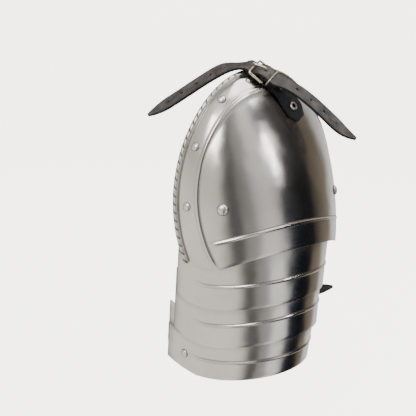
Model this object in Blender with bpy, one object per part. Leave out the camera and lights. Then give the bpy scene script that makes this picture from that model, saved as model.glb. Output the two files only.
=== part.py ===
"""Left pauldron: a domed shoulder cop over three half-ring lames, with its leathers and straps.

+X points away from the wearer's neck, -Y forward and +Z up. The origin is the seat: the point of
the cop's crown, on its inner face, that rests on the shoulder. The piece is alike front and back,
apart from the shoulder strap, which crosses it at an angle. Heights are counted upward from the
rim, the level of the cop's two lower corners.
"""
import math

import bmesh
import bpy
import numpy as np
from mathutils import Matrix, Vector

# Sheet steel, leather and the room between pieces
PLATE = 0.0012
LEATHER = 0.0018
STRAP_THICKNESS = 0.0022
GAP = 0.0003
NEST_GAP = 0.0006

# Shoulder cop
COP_HEIGHT = 0.181
COP_DEPTH = 0.090
COP_HALF_WIDTH = 0.107
DEPTH_POWER = 1.35
WIDTH_POWER = 2.2
LOWER_ARCH = 0.0205
MOUTH_CUT = 0.0312
MOUTH_CUT_HEIGHT = 0.1175
MOUTH_LEAN = 0.004
BORDER_FOOT = 0.026
BORDER_TOP = 0.019
ROLL_RADIUS = 0.0028
ROLL_LIFT = 0.0010

# Embossed creases
BEAD_WIDTH = 0.0038
BEAD_HEIGHT = 0.0010
COP_CREASE_HEIGHT = 0.0235

# Lames, from the top down. Levels and reaches are those of the lower edge.
OVERLAP = 0.028
CORNER_SHARE = 0.90
LAMES = (
    dict(name="upper_lame", level=-0.0377, drop=0.0142, reach=0.0907, half_width=0.0915,
         inset=0.0009, crease=0.0258),
    dict(name="middle_lame", level=-0.0806, drop=0.0186, reach=0.0930, half_width=0.0891,
         inset=0.0063, crease=0.0256),
    dict(name="lower_lame", level=-0.1262, drop=0.0183, reach=0.0901, half_width=0.0869,
         inset=0.0201, crease=0.0227),
)

# Rivets
BORDER_RIVET_HEIGHTS = (0.0560, 0.1120, 0.1560)
BORDER_RIVET_RADIUS = 0.0041
COP_RIVET_HEIGHT = 0.0590
COP_RIVET_REACH = 0.0502
COP_RIVET_RADIUS = 0.0054
HANGER_RIVET_RADIUS = 0.0036
HANGER_RIVET_DEPTH = 0.0060
SHANK_RADIUS = 0.0016
TAIL_RADIUS = 0.0034
TAIL_HEIGHT = 0.0010
FACET_ROOM = 0.0006

# Leathers that the lames hang on
HANGER_WIDTH = 0.022
HANGER_TOP_MARGIN = 0.012
HANGER_END = 0.016

# Buckle tab, on a line across the crown
TAB_LEATHER = 0.0016
TAB_ANGLE = math.radians(50)
TAB_RIVET_REACH = 0.0294
TAB_RIVET_BACK = 0.0170
TAB_END = 0.0095
TAB_NARROW = 0.0195
TAB_WIDE = 0.0270
TAB_NARROW_LENGTH = 0.013
TAB_LIFT_HEIGHT = 0.0012
TAB_LIFT_WIDTH = 0.0050
TAB_CLIP = 0.0065
TAB_RIVET_RADIUS = 0.0045
FOLD_RIVET_RADIUS = 0.0022
FOLD_RIVET_MARGIN = 0.0032
FOLD_LENGTH = 0.0168

# Buckle
BUCKLE_BACK = 0.0300
BUCKLE_LENGTH = 0.0165
BUCKLE_INNER_WIDTH = 0.0225
WIRE_RADIUS = 0.0012
TONGUE_RADIUS = 0.0010
TONGUE_OVERHANG = 0.0030
TONGUE_ROOT = 0.29
TOE_ROOM = 0.0038
KEEPER_AHEAD = 0.0045
KEEPER_RADIUS = 0.0008

# Shoulder strap, from its forward tip to its rear tip
STRAP_WIDTH = 0.0195
STRAP_TIP = 0.020
STRAP_TIP_WIDTH = 0.0035
REAR_RUN = 0.0880
REAR_DROP = 0.0530
FORE_RUN = 0.0890
FORE_DROP = 0.0565
BRIDGE = 0.0160
BRIDGE_RISE = 0.0016
STRAP_TILT = math.radians(24)
REAR_CURVE = ((0.15, 0.09), (0.32, 0.23), (0.50, 0.43), (0.68, 0.66), (0.85, 0.87), (1.0, 1.0))
FORE_CURVE = ((0.16, 0.07), (0.34, 0.25), (0.52, 0.46), (0.70, 0.67), (0.86, 0.85), (1.0, 1.0))
HOLE_RADIUS = 0.0018
HOLE_PITCH = 0.0175
HOLES_EACH_END = 4
HOLE_MARGIN = 0.026

# Strap round the arm
ARM_STRAP_WIDTH = 0.0165
ARM_RIVET_REACH = 0.0103
ARM_RIVET_RISE = 0.0200
ARM_RIVET_RADIUS = 0.0046
ARM_END_MARGIN = 0.0090
ARM_STRAP_BOW = 0.038
ARM_LOOP = ((0.66, -0.80), (1.0, -0.38), (1.0, 0.12), (0.80, 0.60))
ARM_BUCKLE_PAST = 0.0090
ARM_BUCKLE_LENGTH = 0.0150
ARM_TIP_REACH = 0.0
ARM_TAIL = 0.0750
ARM_TAIL_RISE = 0.0169

# How finely the sheets are cut
COLUMNS = 24
PANEL_ROWS = 7
BAND_STRIPS = 3
LAME_COLUMNS = 30
ROLL_STEPS = 7
ROUND_SIDES = 10

RIM = PLATE - COP_HEIGHT
SHOULDER_SHARE = 0.36
SIDES = (("front", -1), ("back", 1))

STEEL = dict(name="polished_steel", color=(0.62, 0.61, 0.58), metallic=1.0, roughness=0.28)
BLACK_LEATHER = dict(name="black_leather", color=(0.018, 0.019, 0.026), metallic=0.0, roughness=0.5)
GREY_LEATHER = dict(name="worn_leather", color=(0.085, 0.075, 0.068), metallic=0.0, roughness=0.62)
AGED_METAL = dict(name="aged_nickel", color=(0.42, 0.36, 0.27), metallic=1.0, roughness=0.35)


def clear_scene():
    for item in list(bpy.data.objects):
        bpy.data.objects.remove(item, do_unlink=True)


def material(look):
    found = bpy.data.materials.get(look["name"])
    if found:
        return found
    made = bpy.data.materials.new(look["name"])
    made.use_nodes = True
    shader = made.node_tree.nodes["Principled BSDF"]
    shader.inputs["Base Color"].default_value = (*look["color"], 1.0)
    shader.inputs["Metallic"].default_value = look["metallic"]
    shader.inputs["Roughness"].default_value = look["roughness"]
    return made


def add_object(name, mesh, look, sharp=40.0):
    mesh.materials.append(material(look))
    item = bpy.data.objects.new(name, mesh)
    bpy.context.collection.objects.link(item)
    mesh.shade_smooth()
    mesh.set_sharp_from_angle(angle=math.radians(sharp))
    return item


def mesh_from(points, faces, name):
    mesh = bpy.data.meshes.new(name)
    mesh.from_pydata([tuple(p) for p in points], [], faces)
    mesh.validate()
    mesh.update()
    return mesh


def unit(vector):
    vector = np.asarray(vector, float)
    return vector / np.linalg.norm(vector)


def lerp(first, last, share):
    return first + (last - first) * share


def smooth(share):
    share = min(max(share, 0.0), 1.0)
    return share * share * (3.0 - 2.0 * share)


def solve(inside, low, high):
    """The place between low and high where inside stops being true."""
    for _ in range(48):
        middle = 0.5 * (low + high)
        if inside(middle):
            low = middle
        else:
            high = middle
    return 0.5 * (low + high)


def bead(distance):
    """Rise of a half-round bead at a distance from its middle line."""
    if abs(distance) >= 0.5 * BEAD_WIDTH:
        return 0.0
    return BEAD_HEIGHT * math.cos(math.pi * distance / BEAD_WIDTH) ** 2


BEAD_STEPS = tuple(BEAD_WIDTH * share for share in (-0.5, -0.25, 0.0, 0.25, 0.5))


# The cop's surface, by height above the rim

def cop_depth(height):
    share = min(max(height / COP_HEIGHT, 0.0), 1.0)
    return COP_DEPTH * (1.0 - share ** DEPTH_POWER) ** (1.0 / DEPTH_POWER)


def cop_half(height):
    share = min(max(height / COP_HEIGHT, 0.0), 1.0)
    return COP_HALF_WIDTH * (1.0 - share ** WIDTH_POWER) ** (1.0 / WIDTH_POWER)


def mouth_x(height):
    cut = max(1.0 - height / MOUTH_CUT_HEIGHT, 0.0)
    lean = min(max(2.0 * height / COP_HEIGHT - 1.0, 0.0), 1.0)
    return MOUTH_CUT * cut ** 2 - MOUTH_LEAN * lean


def border_width(height):
    return lerp(BORDER_FOOT, BORDER_TOP, min(max(height / COP_HEIGHT, 0.0), 1.0))


def side_y(x, height):
    """Half width of the cop at a reach x, or -1 past its outermost point."""
    depth = cop_depth(height)
    if max(x, 0.0) >= depth:
        return -1.0
    return cop_half(height) * math.sqrt(1.0 - (max(x, 0.0) / depth) ** 2)


def roof_height(x, y):
    """Height of the cop's outer face over a point of the plan."""
    return solve(lambda height: side_y(x, height) > abs(y), 0.0, COP_HEIGHT)


def cop_point(x, y):
    return np.array((x, y, RIM + roof_height(x, y)))


def cop_normal(x, y):
    step = 0.0008
    along_x = cop_point(x + step, y) - cop_point(x - step, y)
    along_y = cop_point(x, y + step) - cop_point(x, y - step)
    return unit(np.cross(along_x, along_y))


def wall_point(x, side, height):
    return np.array((x, side * side_y(x, height), RIM + height))


def wall_normal(x, side, height):
    step = 0.0008
    along_x = wall_point(x + step, side, height) - wall_point(x - step, side, height)
    upward = wall_point(x, side, height + step) - wall_point(x, side, height - step)
    return unit(np.cross(along_x, upward) * -side)


SHOULDER = SHOULDER_SHARE * COP_HEIGHT
ROLL_START = math.sqrt(ROLL_RADIUS ** 2 - ROLL_LIFT ** 2)
ROLL_UNDER = math.sqrt(ROLL_RADIUS ** 2 - (ROLL_LIFT + PLATE) ** 2)


def band_x(row, height):
    """Reach of one line of the border band: row 0 starts the roll, the last one ends the bead."""
    strip_end = border_width(height) + BEAD_STEPS[0]
    if row < BAND_STRIPS:
        return mouth_x(height) + lerp(ROLL_START, strip_end, row / BAND_STRIPS)
    return mouth_x(height) + border_width(height) + BEAD_STEPS[row - BAND_STRIPS]


def band_lift(row):
    return bead(BEAD_STEPS[row - BAND_STRIPS]) if row >= BAND_STRIPS else 0.0


BAND_ROWS = len(BEAD_STEPS) + BAND_STRIPS
PANEL_EDGE = BAND_ROWS - 1


def band_side_point(row, side, height):
    return wall_point(band_x(row, height), side, height)


def band_arch_point(row, angle):
    """Point of a band line over the crown, on a ray from the middle of the shoulder level."""
    def inside(radius):
        height = SHOULDER + radius * math.sin(angle)
        return height < COP_HEIGHT and side_y(band_x(row, height), height) > abs(radius * math.cos(angle))
    radius = solve(inside, 0.0, COP_HEIGHT)
    height = SHOULDER + radius * math.sin(angle)
    return np.array((band_x(row, height), radius * math.cos(angle), RIM + height))


def lower_edge(share):
    """Height of the cop's lower edge, by share of the panel's half width."""
    return LOWER_ARCH * (1.0 - min(abs(share), 1.0) ** 2)


class Sheet:
    """An open sheet of quads that becomes a plate with a bead pressed into it."""

    def __init__(self):
        self.points = []
        self.lifts = []
        self.faces = []

    def add(self, point, lift=0.0):
        self.points.append(np.asarray(point, float))
        self.lifts.append(lift)
        return len(self.points) - 1

    def quad(self, a, b, c, d):
        self.faces.append((a, b, c, d))

    def normals(self):
        total = np.zeros((len(self.points), 3))
        place = np.array(self.points)
        for a, b, c, d in self.faces:
            face = np.cross(place[c] - place[a], place[d] - place[b])
            for corner in (a, b, c, d):
                total[corner] += face
        return total / np.linalg.norm(total, axis=1)[:, None]

    def faces_of(self, thickness):
        """Outer and inner walls: points, and faces with the inner ones turned over."""
        normals = self.normals()
        place = np.array(self.points)
        lift = np.array(self.lifts)[:, None]
        count = len(self.points)
        points = np.vstack((place + normals * lift, place + normals * (lift - thickness)))
        faces = list(self.faces)
        faces += [tuple(reversed([count + corner for corner in face])) for face in self.faces]
        return points, faces, normals, count

    def rim(self):
        """Border edges of the sheet, each once, in the direction of its face."""
        seen = {}
        for face in self.faces:
            for k in range(4):
                seen[(face[k], face[(k + 1) % 4])] = True
        return [edge for edge in seen if (edge[1], edge[0]) not in seen]


def cop_sheet():
    """The cop's panel and border band. Returns the sheet and the stations along the roll."""
    sheet = Sheet()
    edge_y = [band_side_point(PANEL_EDGE, 1, SHOULDER)[1]]
    widest = edge_y[0]
    border_angle = math.asin(min(widest / cop_half(SHOULDER), 1.0))
    shares = [math.sin(border_angle * k / (COLUMNS // 2)) / math.sin(border_angle)
              for k in range(-(COLUMNS // 2), COLUMNS // 2 + 1)]

    def head_height(share):
        if abs(share) > 0.9999:
            return SHOULDER
        return solve(lambda height: side_y(band_x(PANEL_EDGE, height), height) > abs(share) * widest,
                     SHOULDER, COP_HEIGHT)

    def column_heights(share):
        foot = lower_edge(share)
        crease = [foot + COP_CREASE_HEIGHT + step for step in BEAD_STEPS]
        last = crease[-1]
        head = head_height(share)
        rest = [lerp(last, head, k / PANEL_ROWS) for k in range(1, PANEL_ROWS + 1)]
        return [foot] + crease + rest

    def panel_point(share, height):
        if height < SHOULDER:
            y = share * side_y(band_x(PANEL_EDGE, height), height)
        else:
            y = share * widest
        inside = max(1.0 - (y / cop_half(height)) ** 2, 0.0)
        return np.array((cop_depth(height) * math.sqrt(inside), y, RIM + height))

    grid = []
    for share in shares:
        column = []
        fade = smooth((1.0 - abs(share)) / 0.08)
        for row, height in enumerate(column_heights(share)):
            lift = bead(BEAD_STEPS[row - 1]) * fade if 1 <= row <= len(BEAD_STEPS) else 0.0
            column.append(sheet.add(panel_point(share, height), lift))
        grid.append(column)
    for left, right in zip(grid, grid[1:]):
        for row in range(len(left) - 1):
            sheet.quad(left[row], right[row], right[row + 1], left[row + 1])

    def station(inner_index, place):
        """One line across the border band, from the roll to the panel."""
        height = sheet.points[inner_index][2] - RIM
        fade = smooth(height / 0.014)
        line = []
        for row in range(BAND_ROWS - 1):
            line.append(sheet.add(place(row), band_lift(row) * fade))
        return line + [inner_index]

    stations = []
    for index in grid[0][:-1]:
        height = sheet.points[index][2] - RIM
        stations.append(station(index, lambda row, h=height: band_side_point(row, -1, h)))
    for column in grid:
        point = sheet.points[column[-1]]
        angle = math.atan2(point[2] - RIM - SHOULDER, point[1])
        stations.append(station(column[-1], lambda row, a=angle: band_arch_point(row, a)))
    for index in reversed(grid[-1][:-1]):
        height = sheet.points[index][2] - RIM
        stations.append(station(index, lambda row, h=height: band_side_point(row, 1, h)))
    for before, after in zip(stations, stations[1:]):
        for row in range(BAND_ROWS - 1):
            sheet.quad(before[row], before[row + 1], after[row + 1], after[row])
    return sheet, stations


def cop_mesh():
    sheet, stations = cop_sheet()
    points, faces, normals, count = sheet.faces_of(PLATE)
    points = list(points)
    roll_lines = []
    start = math.atan2(-ROLL_LIFT, ROLL_START)
    finish = math.atan2(-(ROLL_LIFT + PLATE), ROLL_UNDER)
    turn = 2.0 * math.pi + finish - start
    for line in stations:
        edge, inner = sheet.points[line[0]], sheet.points[line[1]]
        normal = normals[line[0]]
        inward = inner - edge
        inward = unit(inward - normal * np.dot(inward, normal))
        centre = edge - inward * ROLL_START + normal * ROLL_LIFT
        ring = [line[0]]
        for k in range(1, ROLL_STEPS + 1):
            angle = start + turn * k / ROLL_STEPS
            offset = inward * math.cos(angle) + normal * math.sin(angle)
            points.append(centre + offset * ROLL_RADIUS)
            ring.append(len(points) - 1)
        ring.append(count + line[0])
        roll_lines.append(ring)
    for before, after in zip(roll_lines, roll_lines[1:]):
        for k in range(len(before) - 1):
            faces.append((before[k], after[k], after[k + 1], before[k + 1]))
    mouth = {(line[0]) for line in stations}
    for a, b in sheet.rim():
        if a in mouth and b in mouth:
            continue
        faces.append((b, a, count + a, count + b))
    faces.append(tuple(roll_lines[0]))
    faces.append(tuple(reversed(roll_lines[-1])))
    return mesh_from(points, faces, "shoulder_cop")


# The lames' surfaces, by turn from the outermost point (0) to an end (a quarter turn)

def lame_drop(lame, share):
    """How far the lower edge hangs below its middle, by share of the half width."""
    return lame["drop"] * (min(share, CORNER_SHARE) / CORNER_SHARE) ** 2


def lame_low(index, share):
    return LAMES[index]["level"] - lame_drop(LAMES[index], share)


def cover_line(index, share):
    """Height at which the plate above ends."""
    if index:
        return lame_low(index - 1, share)
    panel_half = band_side_point(PANEL_EDGE, 1, 0.0)[1]
    return lower_edge(share * LAMES[0]["half_width"] / panel_half)


def lame_size(index, share, height):
    """Reach and half width of a lame's outer face at a height, by share of its half width."""
    lame = LAMES[index]
    low = lame_low(index, share)
    cover = cover_line(index, share)
    above = min(height, cover)
    room = PLATE + NEST_GAP

    def plate_above(level):
        if index:
            return lame_size(index - 1, share, level)
        return cop_depth(level), cop_half(level)

    lid_reach, lid_half = plate_above(cover)
    top_reach = lid_reach - room
    top_half = min(lid_half - room, lame["half_width"])
    climb = (above - low) / (cover - low)
    reach = lerp(lame["reach"], top_reach, climb)
    half = lerp(lame["half_width"], top_half, climb)
    if height > cover:
        lid_reach, lid_half = plate_above(height)
        reach = lid_reach - room
        half = min(half, lid_half - room)
    return reach, half


def lame_point(index, turn, height):
    share = abs(math.sin(turn))
    reach, half = lame_size(index, share, height)
    inset = LAMES[index]["inset"]
    return np.array((-inset + (reach + inset) * math.cos(turn), half * math.sin(turn), RIM + height))


def lame_normal(index, turn, height):
    step = 0.01
    around = lame_point(index, turn + step, height) - lame_point(index, turn - step, height)
    upward = lame_point(index, turn, height + 0.001) - lame_point(index, turn, height - 0.001)
    return unit(np.cross(around, upward))


def lame_mesh(index):
    lame = LAMES[index]
    sheet = Sheet()
    grid = []
    for k in range(LAME_COLUMNS + 1):
        turn = math.pi * (k / LAME_COLUMNS - 0.5)
        share = abs(math.sin(turn))
        low = lame_low(index, share)
        cover = cover_line(index, share)
        fade = smooth((0.5 * math.pi - abs(turn)) / 0.42 - 0.45)
        column = [sheet.add(lame_point(index, turn, low))]
        for step in BEAD_STEPS:
            point = lame_point(index, turn, low + lame["crease"] + step)
            column.append(sheet.add(point, bead(step) * fade))
        column.append(sheet.add(lame_point(index, turn, cover)))
        column.append(sheet.add(lame_point(index, turn, cover + OVERLAP)))
        grid.append(column)
    for left, right in zip(grid, grid[1:]):
        for row in range(len(left) - 1):
            sheet.quad(left[row], right[row], right[row + 1], left[row + 1])
    points, faces, _, count = sheet.faces_of(PLATE)
    for a, b in sheet.rim():
        faces.append((b, a, count + a, count + b))
    return mesh_from(points, faces, lame["name"])


def ribbon_mesh(name, stations, thickness):
    """A strap through stations of (place, across, normal, half width), the place on its middle."""
    points = []
    faces = []
    for place, across, normal, half in stations:
        for side, face in ((-1, 1), (1, 1), (1, -1), (-1, -1)):
            points.append(place + across * half * side + normal * 0.5 * thickness * face)
    for k in range(len(stations) - 1):
        for corner in range(4):
            after = (corner + 1) % 4
            faces.append((4 * k + corner, 4 * k + after, 4 * k + 4 + after, 4 * k + 4 + corner))
    last = 4 * (len(stations) - 1)
    faces.append((3, 2, 1, 0))
    faces.append((last, last + 1, last + 2, last + 3))
    mesh = mesh_from(points, faces, name)
    working = bmesh.new()
    working.from_mesh(mesh)
    bmesh.ops.recalc_face_normals(working, faces=working.faces)
    working.to_mesh(mesh)
    working.free()
    return mesh


def stations_along(line):
    """Ribbon stations from (place, facing, half width), squared up to the line's own direction."""
    stations = []
    for k, (place, facing, half) in enumerate(line):
        along = unit(line[min(k + 1, len(line) - 1)][0] - line[max(k - 1, 0)][0])
        across = unit(np.cross(facing, along))
        stations.append((place, across, unit(np.cross(along, across)), half))
    return stations


def turned_mesh(name, profile, sides=ROUND_SIDES):
    """A turned solid about Z from (radius, height) pairs, both ends on the axis."""
    points = [(0.0, 0.0, profile[0][1])]
    for radius, height in profile[1:-1]:
        for k in range(sides):
            angle = 2.0 * math.pi * k / sides
            points.append((radius * math.cos(angle), radius * math.sin(angle), height))
    points.append((0.0, 0.0, profile[-1][1]))
    rings = len(profile) - 2
    faces = []
    for k in range(sides):
        after = (k + 1) % sides
        faces.append((0, 1 + k, 1 + after))
        for ring in range(rings - 1):
            upper, lower = 1 + ring * sides, 1 + (ring + 1) * sides
            faces.append((upper + k, lower + k, lower + after, upper + after))
        last = 1 + (rings - 1) * sides
        faces.append((len(points) - 1, last + after, last + k))
    return mesh_from(points, faces, name)


def dome_head(radius, height):
    return [(0.0, height), (0.62 * radius, 0.78 * height), (radius, 0.15 * height), (radius, 0.0)]


def ring_head(radius, height):
    return [(0.0, 0.35 * height), (0.42 * radius, 0.35 * height), (0.55 * radius, height),
            (0.85 * radius, 0.9 * height), (radius, 0.3 * height), (radius, 0.0)]


CUTS = {}


def face_matrix(place, normal):
    turn = Vector((0.0, 0.0, 1.0)).rotation_difference(Vector(tuple(normal)))
    return Matrix.Translation(Vector(tuple(place))) @ turn.to_matrix().to_4x4()


def add_rivet(name, place, normal, radius, stack, through, head=dome_head, look=STEEL,
              head_height=None, flush=False):
    """A rivet with its head on the outer face at place, and holes for it in the pieces it joins."""
    height = 0.55 * radius if head_height is None else head_height
    grip = stack + 2.0 * GAP + FACET_ROOM
    if flush:
        top = [(0.0, -GAP), (SHANK_RADIUS, -GAP)]
    else:
        top = head(radius, height) + [(SHANK_RADIUS, 0.0)]
    tail = [(SHANK_RADIUS, -grip), (TAIL_RADIUS, -grip), (0.85 * TAIL_RADIUS, -grip - TAIL_HEIGHT),
            (0.0, -grip - TAIL_HEIGHT)]
    item = add_object(name, turned_mesh(name, top + tail), look)
    item.matrix_world = face_matrix(np.asarray(place) + np.asarray(normal) * GAP, normal)
    for target in through:
        CUTS.setdefault(target, []).append((np.asarray(place), np.asarray(normal), SHANK_RADIUS + GAP, grip))
    return item


def cut_holes():
    """One cutter for each piece with holes, and a Boolean on the piece."""
    for target, holes in CUTS.items():
        working = bmesh.new()
        for place, normal, radius, depth in holes:
            length = 2.0 * depth + 0.006
            where = face_matrix(place - normal * 0.5 * depth, normal)
            bmesh.ops.create_cone(working, cap_ends=True, segments=ROUND_SIDES, radius1=radius, radius2=radius,
                                  depth=length, matrix=where)
        mesh = bpy.data.meshes.new(target + "_cutter")
        working.to_mesh(mesh)
        working.free()
        cutter = bpy.data.objects.new(target + "_cutter", mesh)
        bpy.context.collection.objects.link(cutter)
        cutter.hide_render = True
        cutter.display_type = "WIRE"
        boolean = bpy.data.objects[target].modifiers.new("rivet_holes", "BOOLEAN")
        boolean.operation = "DIFFERENCE"
        boolean.solver = "EXACT"
        boolean.object = cutter


def add_plates():
    add_object("shoulder_cop", cop_mesh(), STEEL, sharp=50.0)
    for index, lame in enumerate(LAMES):
        add_object(lame["name"], lame_mesh(index), STEEL, sharp=50.0)


def add_border_rivets():
    number = 0
    for _, side in SIDES:
        for height in BORDER_RIVET_HEIGHTS:
            number += 1
            x = mouth_x(height) + 0.5 * (ROLL_RADIUS + border_width(height))
            add_rivet(f"border_rivet_{number}", wall_point(x, side, height), wall_normal(x, side, height),
                      BORDER_RIVET_RADIUS, PLATE, ["shoulder_cop"])


def hanger_turn(index, side, height):
    """Turn at which a lame's outer face passes the leathers' reach."""
    def outside(turn):
        return lame_point(index, turn, height)[0] > COP_RIVET_REACH
    return side * solve(outside, 0.0, 0.5 * math.pi)


def add_hangers():
    """The two leathers, each riveted to the cop and to the hidden upper strip of every lame."""
    for label, side in SIDES:
        name = f"{label}_leather"
        sag = HANGER_WIDTH ** 2 / (8.0 * LAMES[-1]["half_width"])
        place = wall_point(COP_RIVET_REACH, side, COP_RIVET_HEIGHT)
        normal = wall_normal(COP_RIVET_REACH, side, COP_RIVET_HEIGHT)
        add_rivet(f"cop_rivet_{label}", place, normal, COP_RIVET_RADIUS,
                  PLATE + GAP + sag + LEATHER, ["shoulder_cop", name])
        set_back = PLATE + GAP + FACET_ROOM + sag + 0.5 * LEATHER
        stations = []
        for height in (COP_RIVET_HEIGHT + HANGER_TOP_MARGIN, COP_RIVET_HEIGHT,
                       COP_RIVET_HEIGHT - HANGER_TOP_MARGIN):
            here = wall_normal(COP_RIVET_REACH, side, height)
            stations.append((wall_point(COP_RIVET_REACH, side, height) - here * set_back, here))
        for index in range(len(LAMES)):
            near = abs(math.sin(hanger_turn(index, 1, LAMES[index]["level"])))
            top = cover_line(index, near) + OVERLAP
            rivet_height = top - HANGER_RIVET_DEPTH
            turn = hanger_turn(index, side, rivet_height)
            here = lame_normal(index, turn, rivet_height)
            outer = lame_point(index, turn, rivet_height)
            add_rivet(f"{LAMES[index]['name']}_rivet_{label}", outer, here, HANGER_RIVET_RADIUS,
                      PLATE + GAP + sag + LEATHER, [LAMES[index]["name"], name], flush=True)
            end = index == len(LAMES) - 1
            for height in (top + 0.004, rivet_height, rivet_height - (HANGER_END if end else 0.010)):
                turn = hanger_turn(index, side, min(height, top))
                here = lame_normal(index, turn, min(height, top))
                outer = lame_point(index, turn, min(height, top))
                outer[2] = RIM + height
                stations.append((outer - here * set_back, here))
        line = [(middle, here, 0.5 * HANGER_WIDTH) for middle, here in stations]
        add_object(name, ribbon_mesh(name, stations_along(line), LEATHER), BLACK_LEATHER)


def tab_plan(run):
    """Plan place on the tab's line, by distance past the tab's rivet."""
    return (TAB_RIVET_REACH + run * math.cos(TAB_ANGLE), TAB_RIVET_BACK + run * math.sin(TAB_ANGLE))


def tab_rise(run):
    """Room kept under the tab: a little more where it crosses the bead."""
    x, y = tab_plan(run)
    near = abs(x - mouth_x(roof_height(x, y)) - border_width(roof_height(x, y)))
    return 2.0 * GAP + TAB_LIFT_HEIGHT * smooth(1.8 - near / TAB_LIFT_WIDTH)


def tab_station(run, lift, turn=1.0):
    """Place and facing of the tab's middle at a run, lift above its resting place."""
    x, y = tab_plan(run)
    up = cop_normal(x, y)
    return cop_point(x, y) + up * (tab_rise(run) + 0.5 * TAB_LEATHER + lift), up * turn


class BuckleSeat:
    """The buckle's own axes: along toward the tab, across, and up from the cop."""

    def __init__(self):
        place, up = tab_station(-BUCKLE_BACK, 0.5 * TAB_LEATHER + GAP + WIRE_RADIUS)
        self.heel = place
        x, y = tab_plan(-BUCKLE_BACK - BUCKLE_LENGTH)
        lift = ROLL_LIFT + ROLL_RADIUS + TOE_ROOM + STRAP_THICKNESS + WIRE_RADIUS
        toe = cop_point(max(x, 0.0), y) + np.array((min(x, 0.0), 0.0, lift))
        self.along = unit(self.heel - toe)
        self.across = unit(np.cross(up, self.along))
        self.up = unit(np.cross(self.along, self.across))

    def at(self, run, over, rise):
        return self.heel + self.along * run + self.across * over + self.up * rise


def add_tab(seat):
    """The tab: a strip riveted to the cop, folded round the buckle's heel bar and the keeper."""
    name = "buckle_tab"
    wide_run = BUCKLE_BACK - TAB_NARROW_LENGTH
    narrow = 0.5 * TAB_NARROW
    line = []
    for run in (TAB_END, TAB_END - 0.5 * TAB_CLIP, TAB_END - TAB_CLIP, 0.0, -0.35 * wide_run,
                -0.7 * wide_run, -wide_run, -wide_run - 0.35 * TAB_NARROW_LENGTH,
                -wide_run - 0.7 * TAB_NARROW_LENGTH):
        half = lerp(0.5 * TAB_WIDE, narrow, smooth(-run / wide_run))
        half -= max(run - TAB_END + TAB_CLIP, 0.0)
        line.append((*tab_station(run, 0.0), half))
    wrap = WIRE_RADIUS + GAP + 0.5 * TAB_LEATHER
    for k in range(7):
        angle = -0.5 * math.pi - math.pi * k / 6.0
        out = seat.along * math.cos(angle) + seat.up * math.sin(angle)
        line.append((seat.heel + out * wrap, -out, narrow))
    line.append((seat.at(KEEPER_AHEAD, 0.0, wrap), -seat.up, narrow))
    for share in (0.55, 0.8, 1.0):
        lift = TAB_LEATHER + GAP + lerp(1.2 * KEEPER_RADIUS, 0.0, share)
        line.append((*tab_station(-BUCKLE_BACK + FOLD_LENGTH * share, lift, -1.0), narrow))
    stations = stations_along(line)
    add_object(name, ribbon_mesh(name, stations, TAB_LEATHER), BLACK_LEATHER)
    place, up = tab_station(0.0, 0.5 * TAB_LEATHER)
    add_rivet("tab_rivet", place, up, TAB_RIVET_RADIUS, PLATE + TAB_LEATHER + tab_rise(0.0),
              ["shoulder_cop", name], head=ring_head, look=AGED_METAL, head_height=0.0018)
    run = -BUCKLE_BACK + FOLD_LENGTH - FOLD_RIVET_MARGIN
    place, up = tab_station(run, 1.5 * TAB_LEATHER + 2.0 * GAP)
    add_rivet("fold_rivet", place, up, FOLD_RIVET_RADIUS, PLATE + 2.0 * (TAB_LEATHER + GAP) + tab_rise(run),
              ["shoulder_cop", name], look=AGED_METAL)


def tube_mesh(name, path, radius, closed, sides=7):
    """A round wire along a path, as a ring or with flat ends."""
    count = len(path)
    points = []
    normal = None
    for k, place in enumerate(path):
        before = path[k - 1] if closed or k else path[k]
        after = path[(k + 1) % count] if closed or k < count - 1 else path[k]
        along = unit(after - before)
        if normal is None:
            start = np.array((0.0, 0.0, 1.0)) if abs(along[2]) < 0.8 else np.array((1.0, 0.0, 0.0))
            normal = unit(np.cross(along, start))
        normal = unit(normal - along * np.dot(normal, along))
        other = np.cross(along, normal)
        for side in range(sides):
            angle = 2.0 * math.pi * side / sides
            points.append(place + (normal * math.cos(angle) + other * math.sin(angle)) * radius)
    faces = []
    for k in range(count if closed else count - 1):
        following = (k + 1) % count
        for side in range(sides):
            after = (side + 1) % sides
            faces.append((k * sides + side, k * sides + after,
                          following * sides + after, following * sides + side))
    if not closed:
        faces.append(tuple(reversed(range(sides))))
        faces.append(tuple((count - 1) * sides + side for side in range(sides)))
    return mesh_from(points, faces, name)


def rounded_loop(origin, first, second, low, high, half, corner, steps=3):
    """A rectangle with round corners: low to high along the first axis, half each way along the second."""
    path = []
    centres = ((high - corner, half - corner, 0.0), (low + corner, half - corner, 0.5),
               (low + corner, corner - half, 1.0), (high - corner, corner - half, 1.5))
    for run, over, quarter in centres:
        for k in range(steps + 1):
            angle = math.pi * (quarter + 0.5 * k / steps)
            path.append(origin + first * (run + corner * math.cos(angle))
                        + second * (over + corner * math.sin(angle)))
    return path


def strap_rise():
    """Rise of the strap's middle over the buckle's heel bar."""
    return WIRE_RADIUS + 2.0 * GAP + TAB_LEATHER + 0.5 * STRAP_THICKNESS


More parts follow.
